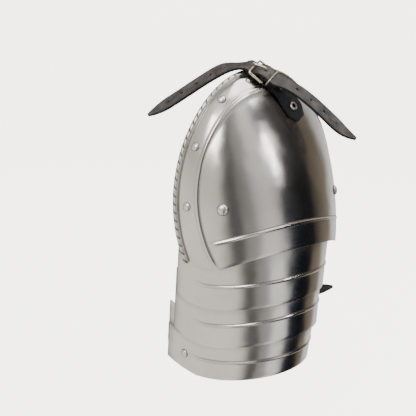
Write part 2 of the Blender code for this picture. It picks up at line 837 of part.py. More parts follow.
def add_buckle(seat):
    """The frame, the tongue that rests on its toe bar, and the keeper between the tab's layers."""
    half = 0.5 * BUCKLE_INNER_WIDTH + WIRE_RADIUS
    frame = rounded_loop(seat.heel, seat.along, seat.across, -BUCKLE_LENGTH, 0.0, half, 2.0 * WIRE_RADIUS)
    add_object("buckle_frame", tube_mesh("buckle_frame", frame, WIRE_RADIUS, True), AGED_METAL)
    clear = WIRE_RADIUS + TONGUE_RADIUS + GAP
    high = strap_rise() + 0.5 * STRAP_THICKNESS + GAP + TONGUE_RADIUS
    root = -TONGUE_ROOT * BUCKLE_LENGTH
    tongue = [seat.at(root, 0.0, WIRE_RADIUS), seat.at(root, 0.0, 0.75 * high), seat.at(1.2 * root, 0.0, high)]
    tongue += [seat.at(run * BUCKLE_LENGTH, 0.0, rise)
               for run, rise in ((-0.50, high), (-0.75, lerp(high, clear, 0.5)), (-1.0, clear))]
    CUTS.setdefault("shoulder_strap", []).append((seat.at(root, 0.0, 0.8 * strap_rise()), seat.up,
                                                  TONGUE_RADIUS + 2.0 * GAP, STRAP_THICKNESS))
    tongue.append(seat.at(-BUCKLE_LENGTH - TONGUE_OVERHANG, 0.0, clear))
    add_object("buckle_tongue", tube_mesh("buckle_tongue", tongue, TONGUE_RADIUS, False), AGED_METAL)
    half = 0.5 * max(STRAP_WIDTH, TAB_NARROW) + 2.0 * GAP + KEEPER_RADIUS
    high = strap_rise() + 0.5 * STRAP_THICKNESS + 2.0 * GAP + KEEPER_RADIUS
    keeper = rounded_loop(seat.at(KEEPER_AHEAD, 0.0, 0.0), seat.up, seat.across, 0.0, high, half,
                          2.0 * KEEPER_RADIUS)
    add_object("buckle_keeper", tube_mesh("buckle_keeper", keeper, KEEPER_RADIUS, True), AGED_METAL)


def strap_line(seat):
    """Middle line of the shoulder strap with the normal of its face, from front to rear."""
    flat = np.array((math.cos(TAB_ANGLE), math.sin(TAB_ANGLE), 0.0))
    raised = np.array((0.0, 0.0, 1.0))
    tail_facing = raised * math.cos(STRAP_TILT) - np.cross(raised, flat) * math.sin(STRAP_TILT)
    rise = strap_rise()
    toe_rise = -(WIRE_RADIUS + 3.5 * GAP + 0.5 * STRAP_THICKNESS)
    toe = seat.at(-BUCKLE_LENGTH, 0.0, toe_rise)
    bridge = toe - flat * BRIDGE + raised * 0.5 * BRIDGE_RISE
    line = [(bridge - flat * FORE_RUN * run - raised * FORE_DROP * drop, tail_facing)
            for run, drop in reversed(FORE_CURVE)]
    line.append((bridge, unit(raised + tail_facing)))
    line.append((toe - flat * 0.4 * BRIDGE + raised * BRIDGE_RISE, unit(seat.up + raised)))
    line.append((toe - seat.along * 1.6 * WIRE_RADIUS, seat.up))
    line.append((toe + seat.along * 1.6 * WIRE_RADIUS, seat.up))
    line.append((seat.at(-0.5 * BUCKLE_LENGTH, 0.0, 0.6 * rise), seat.up))
    line.append((seat.at(0.0, 0.0, rise + GAP), seat.up))
    leave = seat.at(KEEPER_AHEAD + 3.0 * KEEPER_RADIUS, 0.0, rise)
    line.append((leave, seat.up))
    line += [(leave + flat * REAR_RUN * run - raised * REAR_DROP * drop, tail_facing) for run, drop in REAR_CURVE]
    return line


def spline(values, steps):
    """Points of a smooth curve through the given ones."""
    padded = [2 * values[0] - values[1]] + list(values) + [2 * values[-1] - values[-2]]
    out = []
    for k in range(1, len(padded) - 2):
        a, b, c, d = padded[k - 1:k + 3]
        for step in range(steps):
            t = step / steps
            out.append(0.5 * (2 * b + (c - a) * t + (2 * a - 5 * b + 4 * c - d) * t ** 2
                              + (3 * b - a - 3 * c + d) * t ** 3))
    out.append(values[-1])
    return out


def travelled(places):
    """Length along a line at each of its points."""
    steps = np.linalg.norm(np.diff(np.array(places), axis=0), axis=1)
    return [0.0] + list(np.cumsum(steps))


def pointed_half(near, width):
    """Half width of a strap at a distance from its pointed end."""
    return 0.5 * lerp(STRAP_TIP_WIDTH, width, min(near / STRAP_TIP, 1.0) ** 0.8)


def add_shoulder_strap(seat):
    name = "shoulder_strap"
    line = strap_line(seat)
    places = spline([place for place, _ in line], 2)
    facings = spline([facing for _, facing in line], 2)
    travel = travelled(places)
    halves = [pointed_half(min(t, travel[-1] - t), STRAP_WIDTH) for t in travel]
    stations = stations_along(list(zip(places, facings, halves)))
    add_object(name, ribbon_mesh(name, stations, STRAP_THICKNESS), GREY_LEATHER)
    for k in range(HOLES_EACH_END):
        for reach in (HOLE_MARGIN + HOLE_PITCH * k, travel[-1] - HOLE_MARGIN - HOLE_PITCH * k):
            after = int(np.searchsorted(travel, reach))
            share = (reach - travel[after - 1]) / (travel[after] - travel[after - 1])
            place = lerp(places[after - 1], places[after], share)
            normal = unit(lerp(stations[after - 1][2], stations[after][2], share))
            CUTS.setdefault(name, []).append((place, normal, HOLE_RADIUS, STRAP_THICKNESS))


def add_arm_strap():
    """The arm strap: riveted inside the lower lame in front, and through its buckle behind."""
    index = len(LAMES) - 1
    lame = LAMES[index]
    turn = solve(lambda t: lame_point(index, t, lame["level"])[0] > ARM_RIVET_REACH, 0.0, 0.5 * math.pi)
    height = lame_low(index, math.sin(turn)) + ARM_RIVET_RISE
    set_back = PLATE + GAP + FACET_ROOM + 0.5 * LEATHER

    def inside(at_turn, side):
        normal = lame_normal(index, side * at_turn, height)
        return lame_point(index, side * at_turn, height) - normal * set_back, -normal

    for label, side, strip in (("front", -1, "arm_strap"), ("back", 1, "arm_buckle_tab")):
        add_rivet(f"lame_rivet_{label}", lame_point(index, side * turn, height),
                  lame_normal(index, side * turn, height), ARM_RIVET_RADIUS, PLATE + GAP + LEATHER,
                  [lame["name"], strip])
    quarter = 0.5 * math.pi
    steps = [turn - ARM_END_MARGIN / lame["half_width"], turn] + [lerp(turn, quarter, k / 3) for k in (1, 2, 3)]
    level = RIM + height
    inner, flank = -lame["inset"], lame["half_width"]
    bar_x = inner - ARM_BUCKLE_PAST
    back_y = inside(quarter, 1)[0][1]
    gate = np.array((bar_x - 0.5 * ARM_BUCKLE_LENGTH, back_y, level))
    tip = np.array((ARM_TIP_REACH, flank + ARM_TAIL, level + ARM_TAIL_RISE))
    side_in = np.array((-1.0, 0.0, 0.0))

    start = [(*inside(step, -1), 0.5 * ARM_STRAP_WIDTH) for step in steps]
    loop = [(inner - ARM_STRAP_BOW * bow, share * flank) for bow, share in ARM_LOOP]
    middle = [np.array((x, y, level)) for x, y in loop]
    places = [start[-1][0]] + middle + [gate, lerp(gate, tip, 0.35), lerp(gate, tip, 0.7), tip]
    facings = [start[-1][1]]
    for k in range(1, len(places)):
        after = places[min(k + 1, len(places) - 1)] - places[k - 1]
        facings.append(unit(np.cross(np.array((0.0, 0.0, 1.0)), after)) * -1.0)
    places = spline(places, 2)[1:]
    facings = spline(facings, 2)[1:]
    travel = travelled(places)
    line = start + [(place, facing, pointed_half(travel[-1] - t, ARM_STRAP_WIDTH))
                    for place, facing, t in zip(places, facings, travel)]
    add_object("arm_strap", ribbon_mesh("arm_strap", stations_along(line), LEATHER), BLACK_LEATHER)

    bar = np.array((bar_x, back_y, level))
    upright = np.array((0.0, 0.0, 1.0))
    half = 0.5 * ARM_STRAP_WIDTH + 3.0 * GAP + WIRE_RADIUS
    ring = rounded_loop(bar, side_in, upright, 0.0, ARM_BUCKLE_LENGTH, half, 2.0 * WIRE_RADIUS)
    add_object("arm_buckle", tube_mesh("arm_buckle", ring, WIRE_RADIUS, True), AGED_METAL)
    wrap = WIRE_RADIUS + GAP + 0.5 * LEATHER
    strip = [(*inside(step, 1), 0.5 * ARM_STRAP_WIDTH) for step in steps]
    outward = np.array((0.0, 1.0, 0.0))
    for k in range(7):
        angle = math.pi * (0.5 - k / 6.0)
        away = side_in * math.cos(angle) + outward * math.sin(angle)
        strip.append((bar + away * wrap, -away, 0.5 * ARM_STRAP_WIDTH))
    strip.append((bar - outward * wrap - side_in * 0.75 * ARM_BUCKLE_PAST, outward, 0.5 * ARM_STRAP_WIDTH))
    add_object("arm_buckle_tab", ribbon_mesh("arm_buckle_tab", stations_along(strip), LEATHER), BLACK_LEATHER)


def main():
    clear_scene()
    seat = BuckleSeat()
    add_plates()
    add_border_rivets()
    add_hangers()
    add_tab(seat)
    add_buckle(seat)
    add_shoulder_strap(seat)
    add_arm_strap()
    cut_holes()


main()
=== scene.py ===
"""Looks of a left pauldron: polished plates, roped border, rivets, straps and buckles."""
import logging
import math
from dataclasses import dataclass, field
from enum import Enum
from typing import Callable, Sequence

import bpy
import numpy as np
from mathutils import Matrix, Vector


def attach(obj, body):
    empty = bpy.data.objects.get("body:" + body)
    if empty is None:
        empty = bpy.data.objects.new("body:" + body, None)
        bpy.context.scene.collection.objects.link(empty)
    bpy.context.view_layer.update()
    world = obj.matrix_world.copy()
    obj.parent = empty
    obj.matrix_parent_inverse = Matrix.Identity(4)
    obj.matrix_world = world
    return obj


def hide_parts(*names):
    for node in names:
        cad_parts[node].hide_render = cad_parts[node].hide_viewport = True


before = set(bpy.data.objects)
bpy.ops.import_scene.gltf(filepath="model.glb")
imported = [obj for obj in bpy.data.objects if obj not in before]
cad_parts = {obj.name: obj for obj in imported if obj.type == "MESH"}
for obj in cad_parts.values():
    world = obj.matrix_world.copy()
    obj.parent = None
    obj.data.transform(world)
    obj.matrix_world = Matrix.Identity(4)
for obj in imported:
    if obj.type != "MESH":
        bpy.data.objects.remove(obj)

LOG = logging.getLogger("pauldron")
MM = 0.001
BODY = "root"
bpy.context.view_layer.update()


class HeadForm(Enum):
    """Shapes of rivet head."""

    DOMED = "domed"
    RINGED = "ringed"


def linear(code: str) -> tuple[float, float, float, float]:
    """Turn an sRGB hex colour to linear values.

    Args:
        code: Six hex digits.

    Returns:
        Red, green, blue and an alpha of 1.
    """
    parts = [int(code[k:k + 2], 16) / 255.0 for k in (0, 2, 4)]
    return (*[p / 12.92 if p <= 0.04045 else ((p + 0.055) / 1.055) ** 2.4 for p in parts], 1.0)


def add_node(tree: bpy.types.NodeTree, kind: str, settings: dict | None = None,
             inputs: dict | None = None) -> bpy.types.Node:
    """Add a node with its settings, input values and links.

    Args:
        tree: Tree that takes the node.
        kind: Blender's name for the node.
        settings: Attributes to set.
        inputs: Socket name or number to a value or to an output socket.

    Returns:
        The new node.
    """
    node = tree.nodes.new(kind)
    for key, value in (settings or {}).items():
        setattr(node, key, value)
    for key, value in (inputs or {}).items():
        if isinstance(value, bpy.types.NodeSocket):
            tree.links.new(value, node.inputs[key])
        else:
            node.inputs[key].default_value = value
    return node


def ramp(tree: bpy.types.NodeTree, source: bpy.types.NodeSocket,
         stops: Sequence[tuple[float, tuple[float, float, float, float]]]) -> bpy.types.NodeSocket:
    """Map a value through colour stops.

    Args:
        tree: Tree that takes the node.
        source: Value to map.
        stops: Place and colour of each stop.

    Returns:
        The colour output.
    """
    node = add_node(tree, "ShaderNodeValToRGB", {}, {"Fac": source})
    while len(node.color_ramp.elements) < len(stops):
        node.color_ramp.elements.new(0.5)
    for element, (place, colour) in zip(node.color_ramp.elements, stops):
        element.position = place
        element.color = colour
    return node.outputs["Color"]


def grey(value: float) -> tuple[float, float, float, float]:
    """A grey of one linear value."""
    return (value, value, value, 1.0)


def deselect() -> None:
    """Leave edit mode and select nothing."""
    if bpy.context.object and bpy.context.object.mode != "OBJECT":
        bpy.ops.object.mode_set(mode="OBJECT")
    bpy.ops.object.select_all(action="DESELECT")


def activate(item: bpy.types.Object) -> None:
    """Select one object only and make it active."""
    deselect()
    item.select_set(True)
    bpy.context.view_layer.objects.active = item


def apply_modifier(item: bpy.types.Object, kind: str, **settings: object) -> None:
    """Add a modifier with its settings and apply it.

    Args:
        item: Object to change.
        kind: Blender's name for the modifier.
        settings: Modifier attributes.
    """
    activate(item)
    modifier = item.modifiers.new(kind.lower(), kind)
    for key, value in settings.items():
        setattr(modifier, key, value)
    bpy.ops.object.modifier_apply(modifier=modifier.name)


def smooth_share(share: float) -> float:
    """Ease a share from 0 to 1."""
    share = min(max(share, 0.0), 1.0)
    return share * share * (3.0 - 2.0 * share)


def lerp(first: float, last: float, share: float) -> float:
    """Value or point a share of the way from first to last."""
    return first + (last - first) * share


def unit(vector: Sequence[float]) -> np.ndarray:
    """The vector at length 1."""
    vector = np.asarray(vector, float)
    return vector / np.linalg.norm(vector)


def solve(inside: Callable[[float], bool], low: float, high: float) -> float:
    """Place between low and high where inside stops being true."""
    for _ in range(40):
        middle = 0.5 * (low + high)
        if inside(middle):
            low = middle
        else:
            high = middle
    return 0.5 * (low + high)


def grid(name: str, table: np.ndarray, marks: dict[str, np.ndarray] | None = None) -> bpy.types.Object:
    """A grid primitive whose points are put at the places of a table.

    Args:
        name: Name of the object.
        table: Places by row and column, in metres.
        marks: Point values by name, of the table's own rows and columns.

    Returns:
        The new object, at the origin.
    """
    rows, columns = table.shape[:2]
    deselect()
    bpy.ops.mesh.primitive_grid_add(x_subdivisions=columns - 1, y_subdivisions=rows - 1, size=2.0)
    item = bpy.context.object
    item.name = name
    item.data.name = name
    count = len(item.data.vertices)
    flat = np.empty(count * 3)
    item.data.vertices.foreach_get("co", flat)
    flat = flat.reshape(-1, 3)
    column = np.rint((flat[:, 0] + 1.0) * 0.5 * (columns - 1)).astype(int)
    row = np.rint((flat[:, 1] + 1.0) * 0.5 * (rows - 1)).astype(int)
    item.data.vertices.foreach_set("co", table[row, column].ravel())
    for key, values in (marks or {}).items():
        layer = item.data.attributes.new(key, "FLOAT", "POINT")
        layer.data.foreach_set("value", values[row, column].astype(float))
    item.data.update()
    return item


def merge_close(item: bpy.types.Object, distance: float = 0.00002) -> None:
    """Merge points that lie together and turn the faces outward alike."""
    activate(item)
    bpy.ops.object.mode_set(mode="EDIT")
    bpy.ops.mesh.select_all(action="SELECT")
    bpy.ops.mesh.remove_doubles(threshold=distance)
    bpy.ops.mesh.normals_make_consistent(inside=False)
    bpy.ops.object.mode_set(mode="OBJECT")


def join(first: bpy.types.Object, others: Sequence[bpy.types.Object]) -> bpy.types.Object:
    """Join objects into the first one."""
    activate(first)
    for other in others:
        other.select_set(True)
    bpy.ops.object.join()
    return first


def raise_beads(item: bpy.types.Object) -> None:
    """Lift each point along its normal by the value stored in "lift"."""
    mesh = item.data
    count = len(mesh.vertices)
    place, normal, lift = np.empty(count * 3), np.empty(count * 3), np.empty(count)
    mesh.vertices.foreach_get("co", place)
    mesh.vertices.foreach_get("normal", normal)
    mesh.attributes["lift"].data.foreach_get("value", lift)
    place = place.reshape(-1, 3) + normal.reshape(-1, 3) * lift[:, None]
    mesh.vertices.foreach_set("co", place.ravel())
    mesh.update()


def flip_if(item: bpy.types.Object, outward: Callable[[Vector], Vector]) -> None:
    """Turn an open sheet over when most of its faces look against a direction.

    Args:
        item: Object to check.
        outward: Direction that faces should look in, by place.
    """
    against = sum(1 for face in item.data.polygons if face.normal.dot(outward(face.center)) < 0.0)
    if against * 2 > len(item.data.polygons):
        activate(item)
        bpy.ops.object.mode_set(mode="EDIT")
        bpy.ops.mesh.select_all(action="SELECT")
        bpy.ops.mesh.flip_normals()
        bpy.ops.object.mode_set(mode="OBJECT")


def dress(item: bpy.types.Object, materials: Sequence[bpy.types.Material], nodes: Sequence[str],
          angle: float = 35.0) -> bpy.types.Object:
    """Shade a piece, give it its materials and tie it to the frame.

    Args:
        item: Finished mesh object.
        materials: Materials by slot.
        nodes: CAD nodes that the piece stands for.
        angle: Edges sharper than this stay crisp, in degrees.

    Returns:
        The same object.
    """
    activate(item)
    bpy.ops.object.shade_smooth_by_angle(angle=math.radians(angle))
    item.data.materials.clear()
    for material in materials:
        item.data.materials.append(material)
    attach(item, BODY)
    if nodes:
        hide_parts(*nodes)
    LOG.info("%s: %d faces", item.name, len(item.data.polygons))
    return item


@dataclass(frozen=True)
class SteelFinish:
    """Mild steel sheet, brushed level and then polished: warm grey, with streaked soft reflections."""

    name: str = "polished_mild_steel"
    tone: str = "D3CFC8"
    haze: str = "B9B4AC"
    # Colour of the painted shade: dark lines at the bead's feet, under each plate's lower edge, in the roll's nicks
    # and round the rivet heads
    shade_paint: str = "100D0B"
    roughness: float = 0.13
    brushing: float = 0.03
    line_mm: float = 0.6
    patch_mm: float = 38.0
    ripple: float = 0.35

    def make(self) -> bpy.types.Material:
        """Build the material.

        Returns:
            The new material.
        """
        material = bpy.data.materials.new(self.name)
        material.use_nodes = True
        tree = material.node_tree
        shader = tree.nodes["Principled BSDF"]
        place = add_node(tree, "ShaderNodeTexCoord").outputs["Object"]
        # Brushing runs level round the plates: real lines of 0.1 mm are drawn 0.6 mm apart so that they show
        across = 1000.0 / self.line_mm
        stretched = add_node(tree, "ShaderNodeMapping", {},
                             {"Vector": place, "Scale": (across * 0.035, across * 0.035, across)})
        lines = add_node(tree, "ShaderNodeTexNoise", {}, {"Vector": stretched.outputs[0], "Scale": 1.0,
                                                          "Detail": 4.0, "Roughness": 0.65}).outputs["Fac"]
        patches = add_node(tree, "ShaderNodeTexNoise", {}, {"Vector": place, "Scale": 1000.0 / self.patch_mm,
                                                            "Detail": 3.0, "Roughness": 0.5}).outputs["Fac"]
        grit = add_node(tree, "ShaderNodeTexVoronoi", {"feature": "F1"},
                        {"Vector": place, "Scale": 95.0}).outputs["Distance"]
        spots = ramp(tree, grit, ((0.0, grey(1.0)), (0.07, grey(0.0)), (1.0, grey(0.0))))
        # Painted shade share from the mesh: it darkens the colour toward the shade colour and dulls the roughness
        shade_paint = add_node(tree, "ShaderNodeAttribute", {"attribute_name": "painted_shade"}).outputs["Fac"]
        body = add_node(tree, "ShaderNodeMix", {"data_type": "RGBA"},
                        {0: patches, 6: linear(self.tone), 7: linear(self.haze)}).outputs[2]
        marked = add_node(tree, "ShaderNodeMath", {"operation": "MULTIPLY"},
                          {0: spots, 1: patches}).outputs[0]
        spotted = add_node(tree, "ShaderNodeMix", {"data_type": "RGBA"},
                           {0: marked, 6: body, 7: linear("5C5348")}).outputs[2]
        shade_painted = add_node(tree, "ShaderNodeMix", {"data_type": "RGBA"},
                          {0: shade_paint, 6: spotted, 7: linear(self.shade_paint)}).outputs[2]
        tree.links.new(shade_painted, shader.inputs["Base Color"])
        rough = add_node(tree, "ShaderNodeMath", {"operation": "MULTIPLY_ADD"},
                         {0: patches, 1: 0.10, 2: self.roughness - 0.05}).outputs[0]
        streaked = add_node(tree, "ShaderNodeMath", {"operation": "MULTIPLY_ADD"},
                            {0: lines, 1: 0.12, 2: rough}).outputs[0]
        dulled = add_node(tree, "ShaderNodeMath", {"operation": "MULTIPLY_ADD", "use_clamp": True},
                          {0: shade_paint, 1: 0.45, 2: streaked}).outputs[0]
        tree.links.new(dulled, shader.inputs["Roughness"])
        # Planishing leaves ripples of about 30 mm that bend the reflections a little
        ripples = add_node(tree, "ShaderNodeTexNoise", {}, {"Vector": place, "Scale": 34.0, "Detail": 1.0,
                                                            "Roughness": 0.4}).outputs["Fac"]
        hammered = add_node(tree, "ShaderNodeBump", {}, {"Height": ripples, "Strength": self.ripple,
                                                         "Distance": 0.0022}).outputs[0]
        bump = add_node(tree, "ShaderNodeBump", {}, {"Height": lines, "Strength": self.brushing,
                                                     "Distance": 0.0004, "Normal": hammered}).outputs[0]
        tree.links.new(bump, shader.inputs["Normal"])
        shader.inputs["Metallic"].default_value = 1.0
        return material


@dataclass(frozen=True)
class LeatherFinish:
    """Vegetable-tanned strap leather, dyed and waxed: a fine pebbled grain, with the face darker along both edges.
    """

    name: str
    tone: str
    worn: str
    edge: str
    roughness: float = 0.48
    grain_mm: float = 1.1
    wear: float = 0.5
    shine: float = 0.22
    coat: float = 0.0

    def make(self) -> bpy.types.Material:
        """Build the material.

        Returns:
            The new material.
        """
        material = bpy.data.materials.new(self.name)
        material.use_nodes = True
        tree = material.node_tree
        shader = tree.nodes["Principled BSDF"]
        place = add_node(tree, "ShaderNodeTexCoord").outputs["Object"]
        pebble = add_node(tree, "ShaderNodeTexVoronoi", {"feature": "DISTANCE_TO_EDGE"},
                          {"Vector": place, "Scale": 1000.0 / self.grain_mm, "Randomness": 1.0}).outputs["Distance"]
        clouds = add_node(tree, "ShaderNodeTexNoise", {}, {"Vector": place, "Scale": 85.0, "Detail": 5.0,
                                                           "Roughness": 0.65}).outputs["Fac"]
        rubbed = ramp(tree, clouds, ((0.40, grey(0.0)), (0.72, grey(self.wear))))
        tone = add_node(tree, "ShaderNodeMix", {"data_type": "RGBA"},
                        {0: rubbed, 6: linear(self.tone), 7: linear(self.worn)}).outputs[2]
        rim = add_node(tree, "ShaderNodeAttribute", {"attribute_name": "edge"}).outputs["Fac"]
        edged = add_node(tree, "ShaderNodeMix", {"data_type": "RGBA"},
                         {0: rim, 6: tone, 7: linear(self.edge)}).outputs[2]
        tree.links.new(edged, shader.inputs["Base Color"])
        rough = add_node(tree, "ShaderNodeMath", {"operation": "MULTIPLY_ADD"},
                         {0: clouds, 1: 0.22, 2: self.roughness - 0.11}).outputs[0]
        tree.links.new(rough, shader.inputs["Roughness"])
        height = add_node(tree, "ShaderNodeMath", {"operation": "MULTIPLY_ADD"},
                          {0: clouds, 1: 0.6, 2: pebble}).outputs[0]
        bump = add_node(tree, "ShaderNodeBump", {}, {"Height": height, "Strength": 0.35,
                                                     "Distance": 0.0006}).outputs[0]
        tree.links.new(bump, shader.inputs["Normal"])
        shader.inputs["Specular IOR Level"].default_value = self.shine
        shader.inputs["Coat Weight"].default_value = self.coat
        shader.inputs["Coat Roughness"].default_value = 0.3
        return material


@dataclass(frozen=True)
class WireFinish:
    """Drawn steel wire with thin nickel plate: bright where rubbed, brown where it has gone through."""

    name: str = "rubbed_nickel_plate"
    tone: str = "C9BFA8"
    brown: str = "4A3423"
    roughness: float = 0.24

    def make(self) -> bpy.types.Material:
        """Build the material.

        Returns:
            The new material.
        """
        material = bpy.data.materials.new(self.name)
        material.use_nodes = True
        tree = material.node_tree
        shader = tree.nodes["Principled BSDF"]
        place = add_node(tree, "ShaderNodeTexCoord").outputs["Object"]
        clouds = add_node(tree, "ShaderNodeTexNoise", {}, {"Vector": place, "Scale": 260.0, "Detail": 4.0,
                                                           "Roughness": 0.6}).outputs["Fac"]
        worn = ramp(tree, clouds, ((0.46, grey(0.0)), (0.66, grey(0.75))))
        # The painted shade share browns the wire like its wear; the wires carry none of it
        shade_paint = add_node(tree, "ShaderNodeAttribute", {"attribute_name": "painted_shade"}).outputs["Fac"]
        both = add_node(tree, "ShaderNodeMath", {"operation": "MAXIMUM"}, {0: worn, 1: shade_paint}).outputs[0]
        tone = add_node(tree, "ShaderNodeMix", {"data_type": "RGBA"},
                        {0: both, 6: linear(self.tone), 7: linear(self.brown)}).outputs[2]
        tree.links.new(tone, shader.inputs["Base Color"])
        rough = add_node(tree, "ShaderNodeMath", {"operation": "MULTIPLY_ADD"},
                         {0: both, 1: 0.35, 2: self.roughness}).outputs[0]
        tree.links.new(rough, shader.inputs["Roughness"])
        shader.inputs["Metallic"].default_value = 1.0
        return material


@dataclass
class Finishes:
    """The materials of the whole piece, each made once."""

    steel: bpy.types.Material = field(default_factory=lambda: SteelFinish().make())
    rope: bpy.types.Material = field(default_factory=lambda: SteelFinish(
        name="filed_mild_steel", tone="D6D2CC", roughness=0.26, brushing=0.02).make())
    inner: bpy.types.Material = field(default_factory=lambda: SteelFinish(
        name="brushed_mild_steel", tone="A39D96", haze="8B857E", roughness=0.36, brushing=0.1).make())
    rivet: bpy.types.Material = field(default_factory=lambda: SteelFinish(
        name="turned_steel", tone="DAD6D0", haze="C2BDB6", roughness=0.24, brushing=0.0).make())
    strap: bpy.types.Material = field(default_factory=lambda: LeatherFinish(
        "worn_strap_leather", "1F1C1B", "3D3936", "080706", roughness=0.46, wear=0.8).make())
    black: bpy.types.Material = field(default_factory=lambda: LeatherFinish(
        "black_bridle_leather", "0B0C10", "16181F", "050506", roughness=0.34, wear=0.5, shine=0.2, coat=0.08).make())
    back: bpy.types.Material = field(default_factory=lambda: LeatherFinish(
        "split_leather_back", "1B1817", "2D2724", "100E0D", roughness=0.72, wear=0.5).make())
    wire: bpy.types.Material = field(default_factory=lambda: WireFinish().make())


@dataclass
class Bead:
    """The half-round bead pressed into each plate."""

    width: float = 3.8 * MM
    height: float = 1.0 * MM
    shade_paint_width: float = 0.5 * MM

    def steps(self, count: int) -> list[float]:
        """Distances from the bead's middle line, with room for the painted shade beside it."""
        reach = 0.9 * self.width
        return [lerp(-reach, reach, k / count) for k in range(count + 1)]

    def lift(self, distance: float) -> float:
        """Rise at a distance from the middle line."""
        if abs(distance) >= 0.5 * self.width:
            return 0.0
        return self.height * math.cos(math.pi * distance / self.width) ** 2

    def shade_paint(self, distance: float) -> float:
        """Share of painted shade at a distance: a thin dark line at each foot of the bead, fainter on the low side.
        """
        line = math.exp(-((abs(distance) - 0.5 * self.width) / self.shade_paint_width) ** 2)
        return line * (0.75 if distance > 0.0 else 0.35)


@dataclass
class CopShell:
    """The domed top plate: its panel, its border band and the roped roll along the mouth."""

    finishes: Finishes
    bead: Bead
    height: float = 181.0 * MM
    depth: float = 90.0 * MM
    half_width: float = 107.0 * MM
    depth_power: float = 1.35
    width_power: float = 2.2
    wall: float = 1.2 * MM
    arch: float = 20.5 * MM
    crease: float = 23.5 * MM
    mouth_cut: float = 31.2 * MM
    mouth_cut_height: float = 117.5 * MM
    mouth_lean: float = 4.0 * MM
    border_foot: float = 26.0 * MM
    border_top: float = 19.0 * MM
    roll_radius: float = 2.8 * MM
    roll_lift: float = 1.0 * MM
    nick_pitch: float = 8.2 * MM
    shoulder_share: float = 0.36
    columns: int = 116
    rest_rows: int = 26
    strips: int = 9

    def __post_init__(self) -> None:
        """Work out the levels that the other methods share."""
        self.rim = self.wall - self.height
        self.shoulder = self.shoulder_share * self.height
        self.roll_start = math.sqrt(self.roll_radius ** 2 - self.roll_lift ** 2)
        self.widest = self.side_y(self.edge_x(self.shoulder), self.shoulder)

    def reach_at(self, level: float) -> float:
        """Outward reach at a level above the rim."""
        share = min(max(level / self.height, 0.0), 1.0)
        return self.depth * (1.0 - share ** self.depth_power) ** (1.0 / self.depth_power)

    def half_at(self, level: float) -> float:
        """Half width at a level above the rim."""
        share = min(max(level / self.height, 0.0), 1.0)
        return self.half_width * (1.0 - share ** self.width_power) ** (1.0 / self.width_power)

    def mouth_x(self, level: float) -> float:
        """Reach of the mouth's edge at a level."""
        cut = max(1.0 - level / self.mouth_cut_height, 0.0)
        lean = min(max(2.0 * level / self.height - 1.0, 0.0), 1.0)
        return self.mouth_cut * cut ** 2 - self.mouth_lean * lean

    def border_x(self, level: float) -> float:
        """Reach of the border bead's middle line at a level."""
        share = min(max(level / self.height, 0.0), 1.0)
        return self.mouth_x(level) + lerp(self.border_foot, self.border_top, share)

    def edge_x(self, level: float) -> float:
        """Reach of the line where the panel meets the border band."""
        return self.border_x(level) + 0.5 * self.bead.width

    def side_y(self, x: float, level: float) -> float:
        """Half width at a reach and a level, or -1 past the outermost point."""
        depth = self.reach_at(level)
        if max(x, 0.0) >= depth:
            return -1.0
        return self.half_at(level) * math.sqrt(1.0 - (max(x, 0.0) / depth) ** 2)

    def marks(self, x: float, level: float, share: float) -> tuple[float, float]:
        """Lift and painted shade at a place of the plate.

        Args:
            x: Reach of the place.
            level: Level of the place above the rim.
            share: Its share of the panel's half width, or 1 on the border band.

        Returns:
            The lift in metres and the painted shade from 0 to 1.
        """
        beside = 0.9 * (x - self.border_x(level))
        fade = smooth_share(level / 0.014)
        lift = self.bead.lift(beside) * fade
        shade_paint = self.bead.shade_paint(beside) * (0.35 + 0.65 * fade)
        if share < 1.0:
            above = level - self.arch * (1.0 - share ** 2) - self.crease
            fade = smooth_share((1.0 - share) / 0.08)
            lift = max(lift, self.bead.lift(above) * fade)
            shade_paint = max(shade_paint, self.bead.shade_paint(above) * fade)
        return lift, 0.85 * shade_paint

    def panel(self) -> tuple[np.ndarray, np.ndarray, np.ndarray]:
        """Places, lifts and painted shade of the panel by row and column."""
        half = self.columns // 2
        border_angle = math.asin(min(self.widest / self.half_at(self.shoulder), 1.0))
        shares = [math.sin(border_angle * k / half) / math.sin(border_angle) for k in range(-half, half + 1)]
        steps = self.bead.steps(14)
        table, lifts, shade_paints = [], [], []
        for share in shares:
            foot = self.arch * (1.0 - share ** 2)
            head = self.shoulder
            if abs(share) < 0.9999:
                head = solve(lambda level: self.side_y(self.edge_x(level), level) > abs(share) * self.widest,
                             self.shoulder, self.height)
            low = [lerp(foot, foot + self.crease + steps[0], k / 6) for k in range(6)]
            levels = low + [foot + self.crease + step for step in steps]
            levels += [lerp(levels[-1], head, k / self.rest_rows) for k in range(1, self.rest_rows + 1)]
            line, up, dark = [], [], []
            for level in levels:
                y = share * (self.side_y(self.edge_x(level), level) if level < self.shoulder else self.widest)
                inside = max(1.0 - (y / self.half_at(level)) ** 2, 0.0)
                x = self.reach_at(level) * math.sqrt(inside)
                lift, shade_paint = self.marks(x, level, abs(share))
                line.append((x, y, self.rim + level))
                up.append(lift)
                dark.append(shade_paint)
            table.append(line)
            lifts.append(up)
            shade_paints.append(dark)
        return (np.array(table).transpose(1, 0, 2), np.array(lifts).T, np.array(shade_paints).T)

    def band(self, panel: np.ndarray) -> tuple[np.ndarray, np.ndarray, np.ndarray]:
        """Places, lifts and painted shade of the border band, from the mouth to the panel's edge.

        Args:
            panel: Places of the panel by row and column.

        Returns:
            Places, lifts and painted shade by row and station.
        """
        steps = [step for step in self.bead.steps(14) if step < 0.5 * self.bead.width - 1e-6]
        outline = [(panel[row, 0], -1) for row in range(panel.shape[0] - 1)]
        outline += [(panel[-1, column], 0) for column in range(panel.shape[1])]
        outline += [(panel[row, -1], 1) for row in range(panel.shape[0] - 2, -1, -1)]

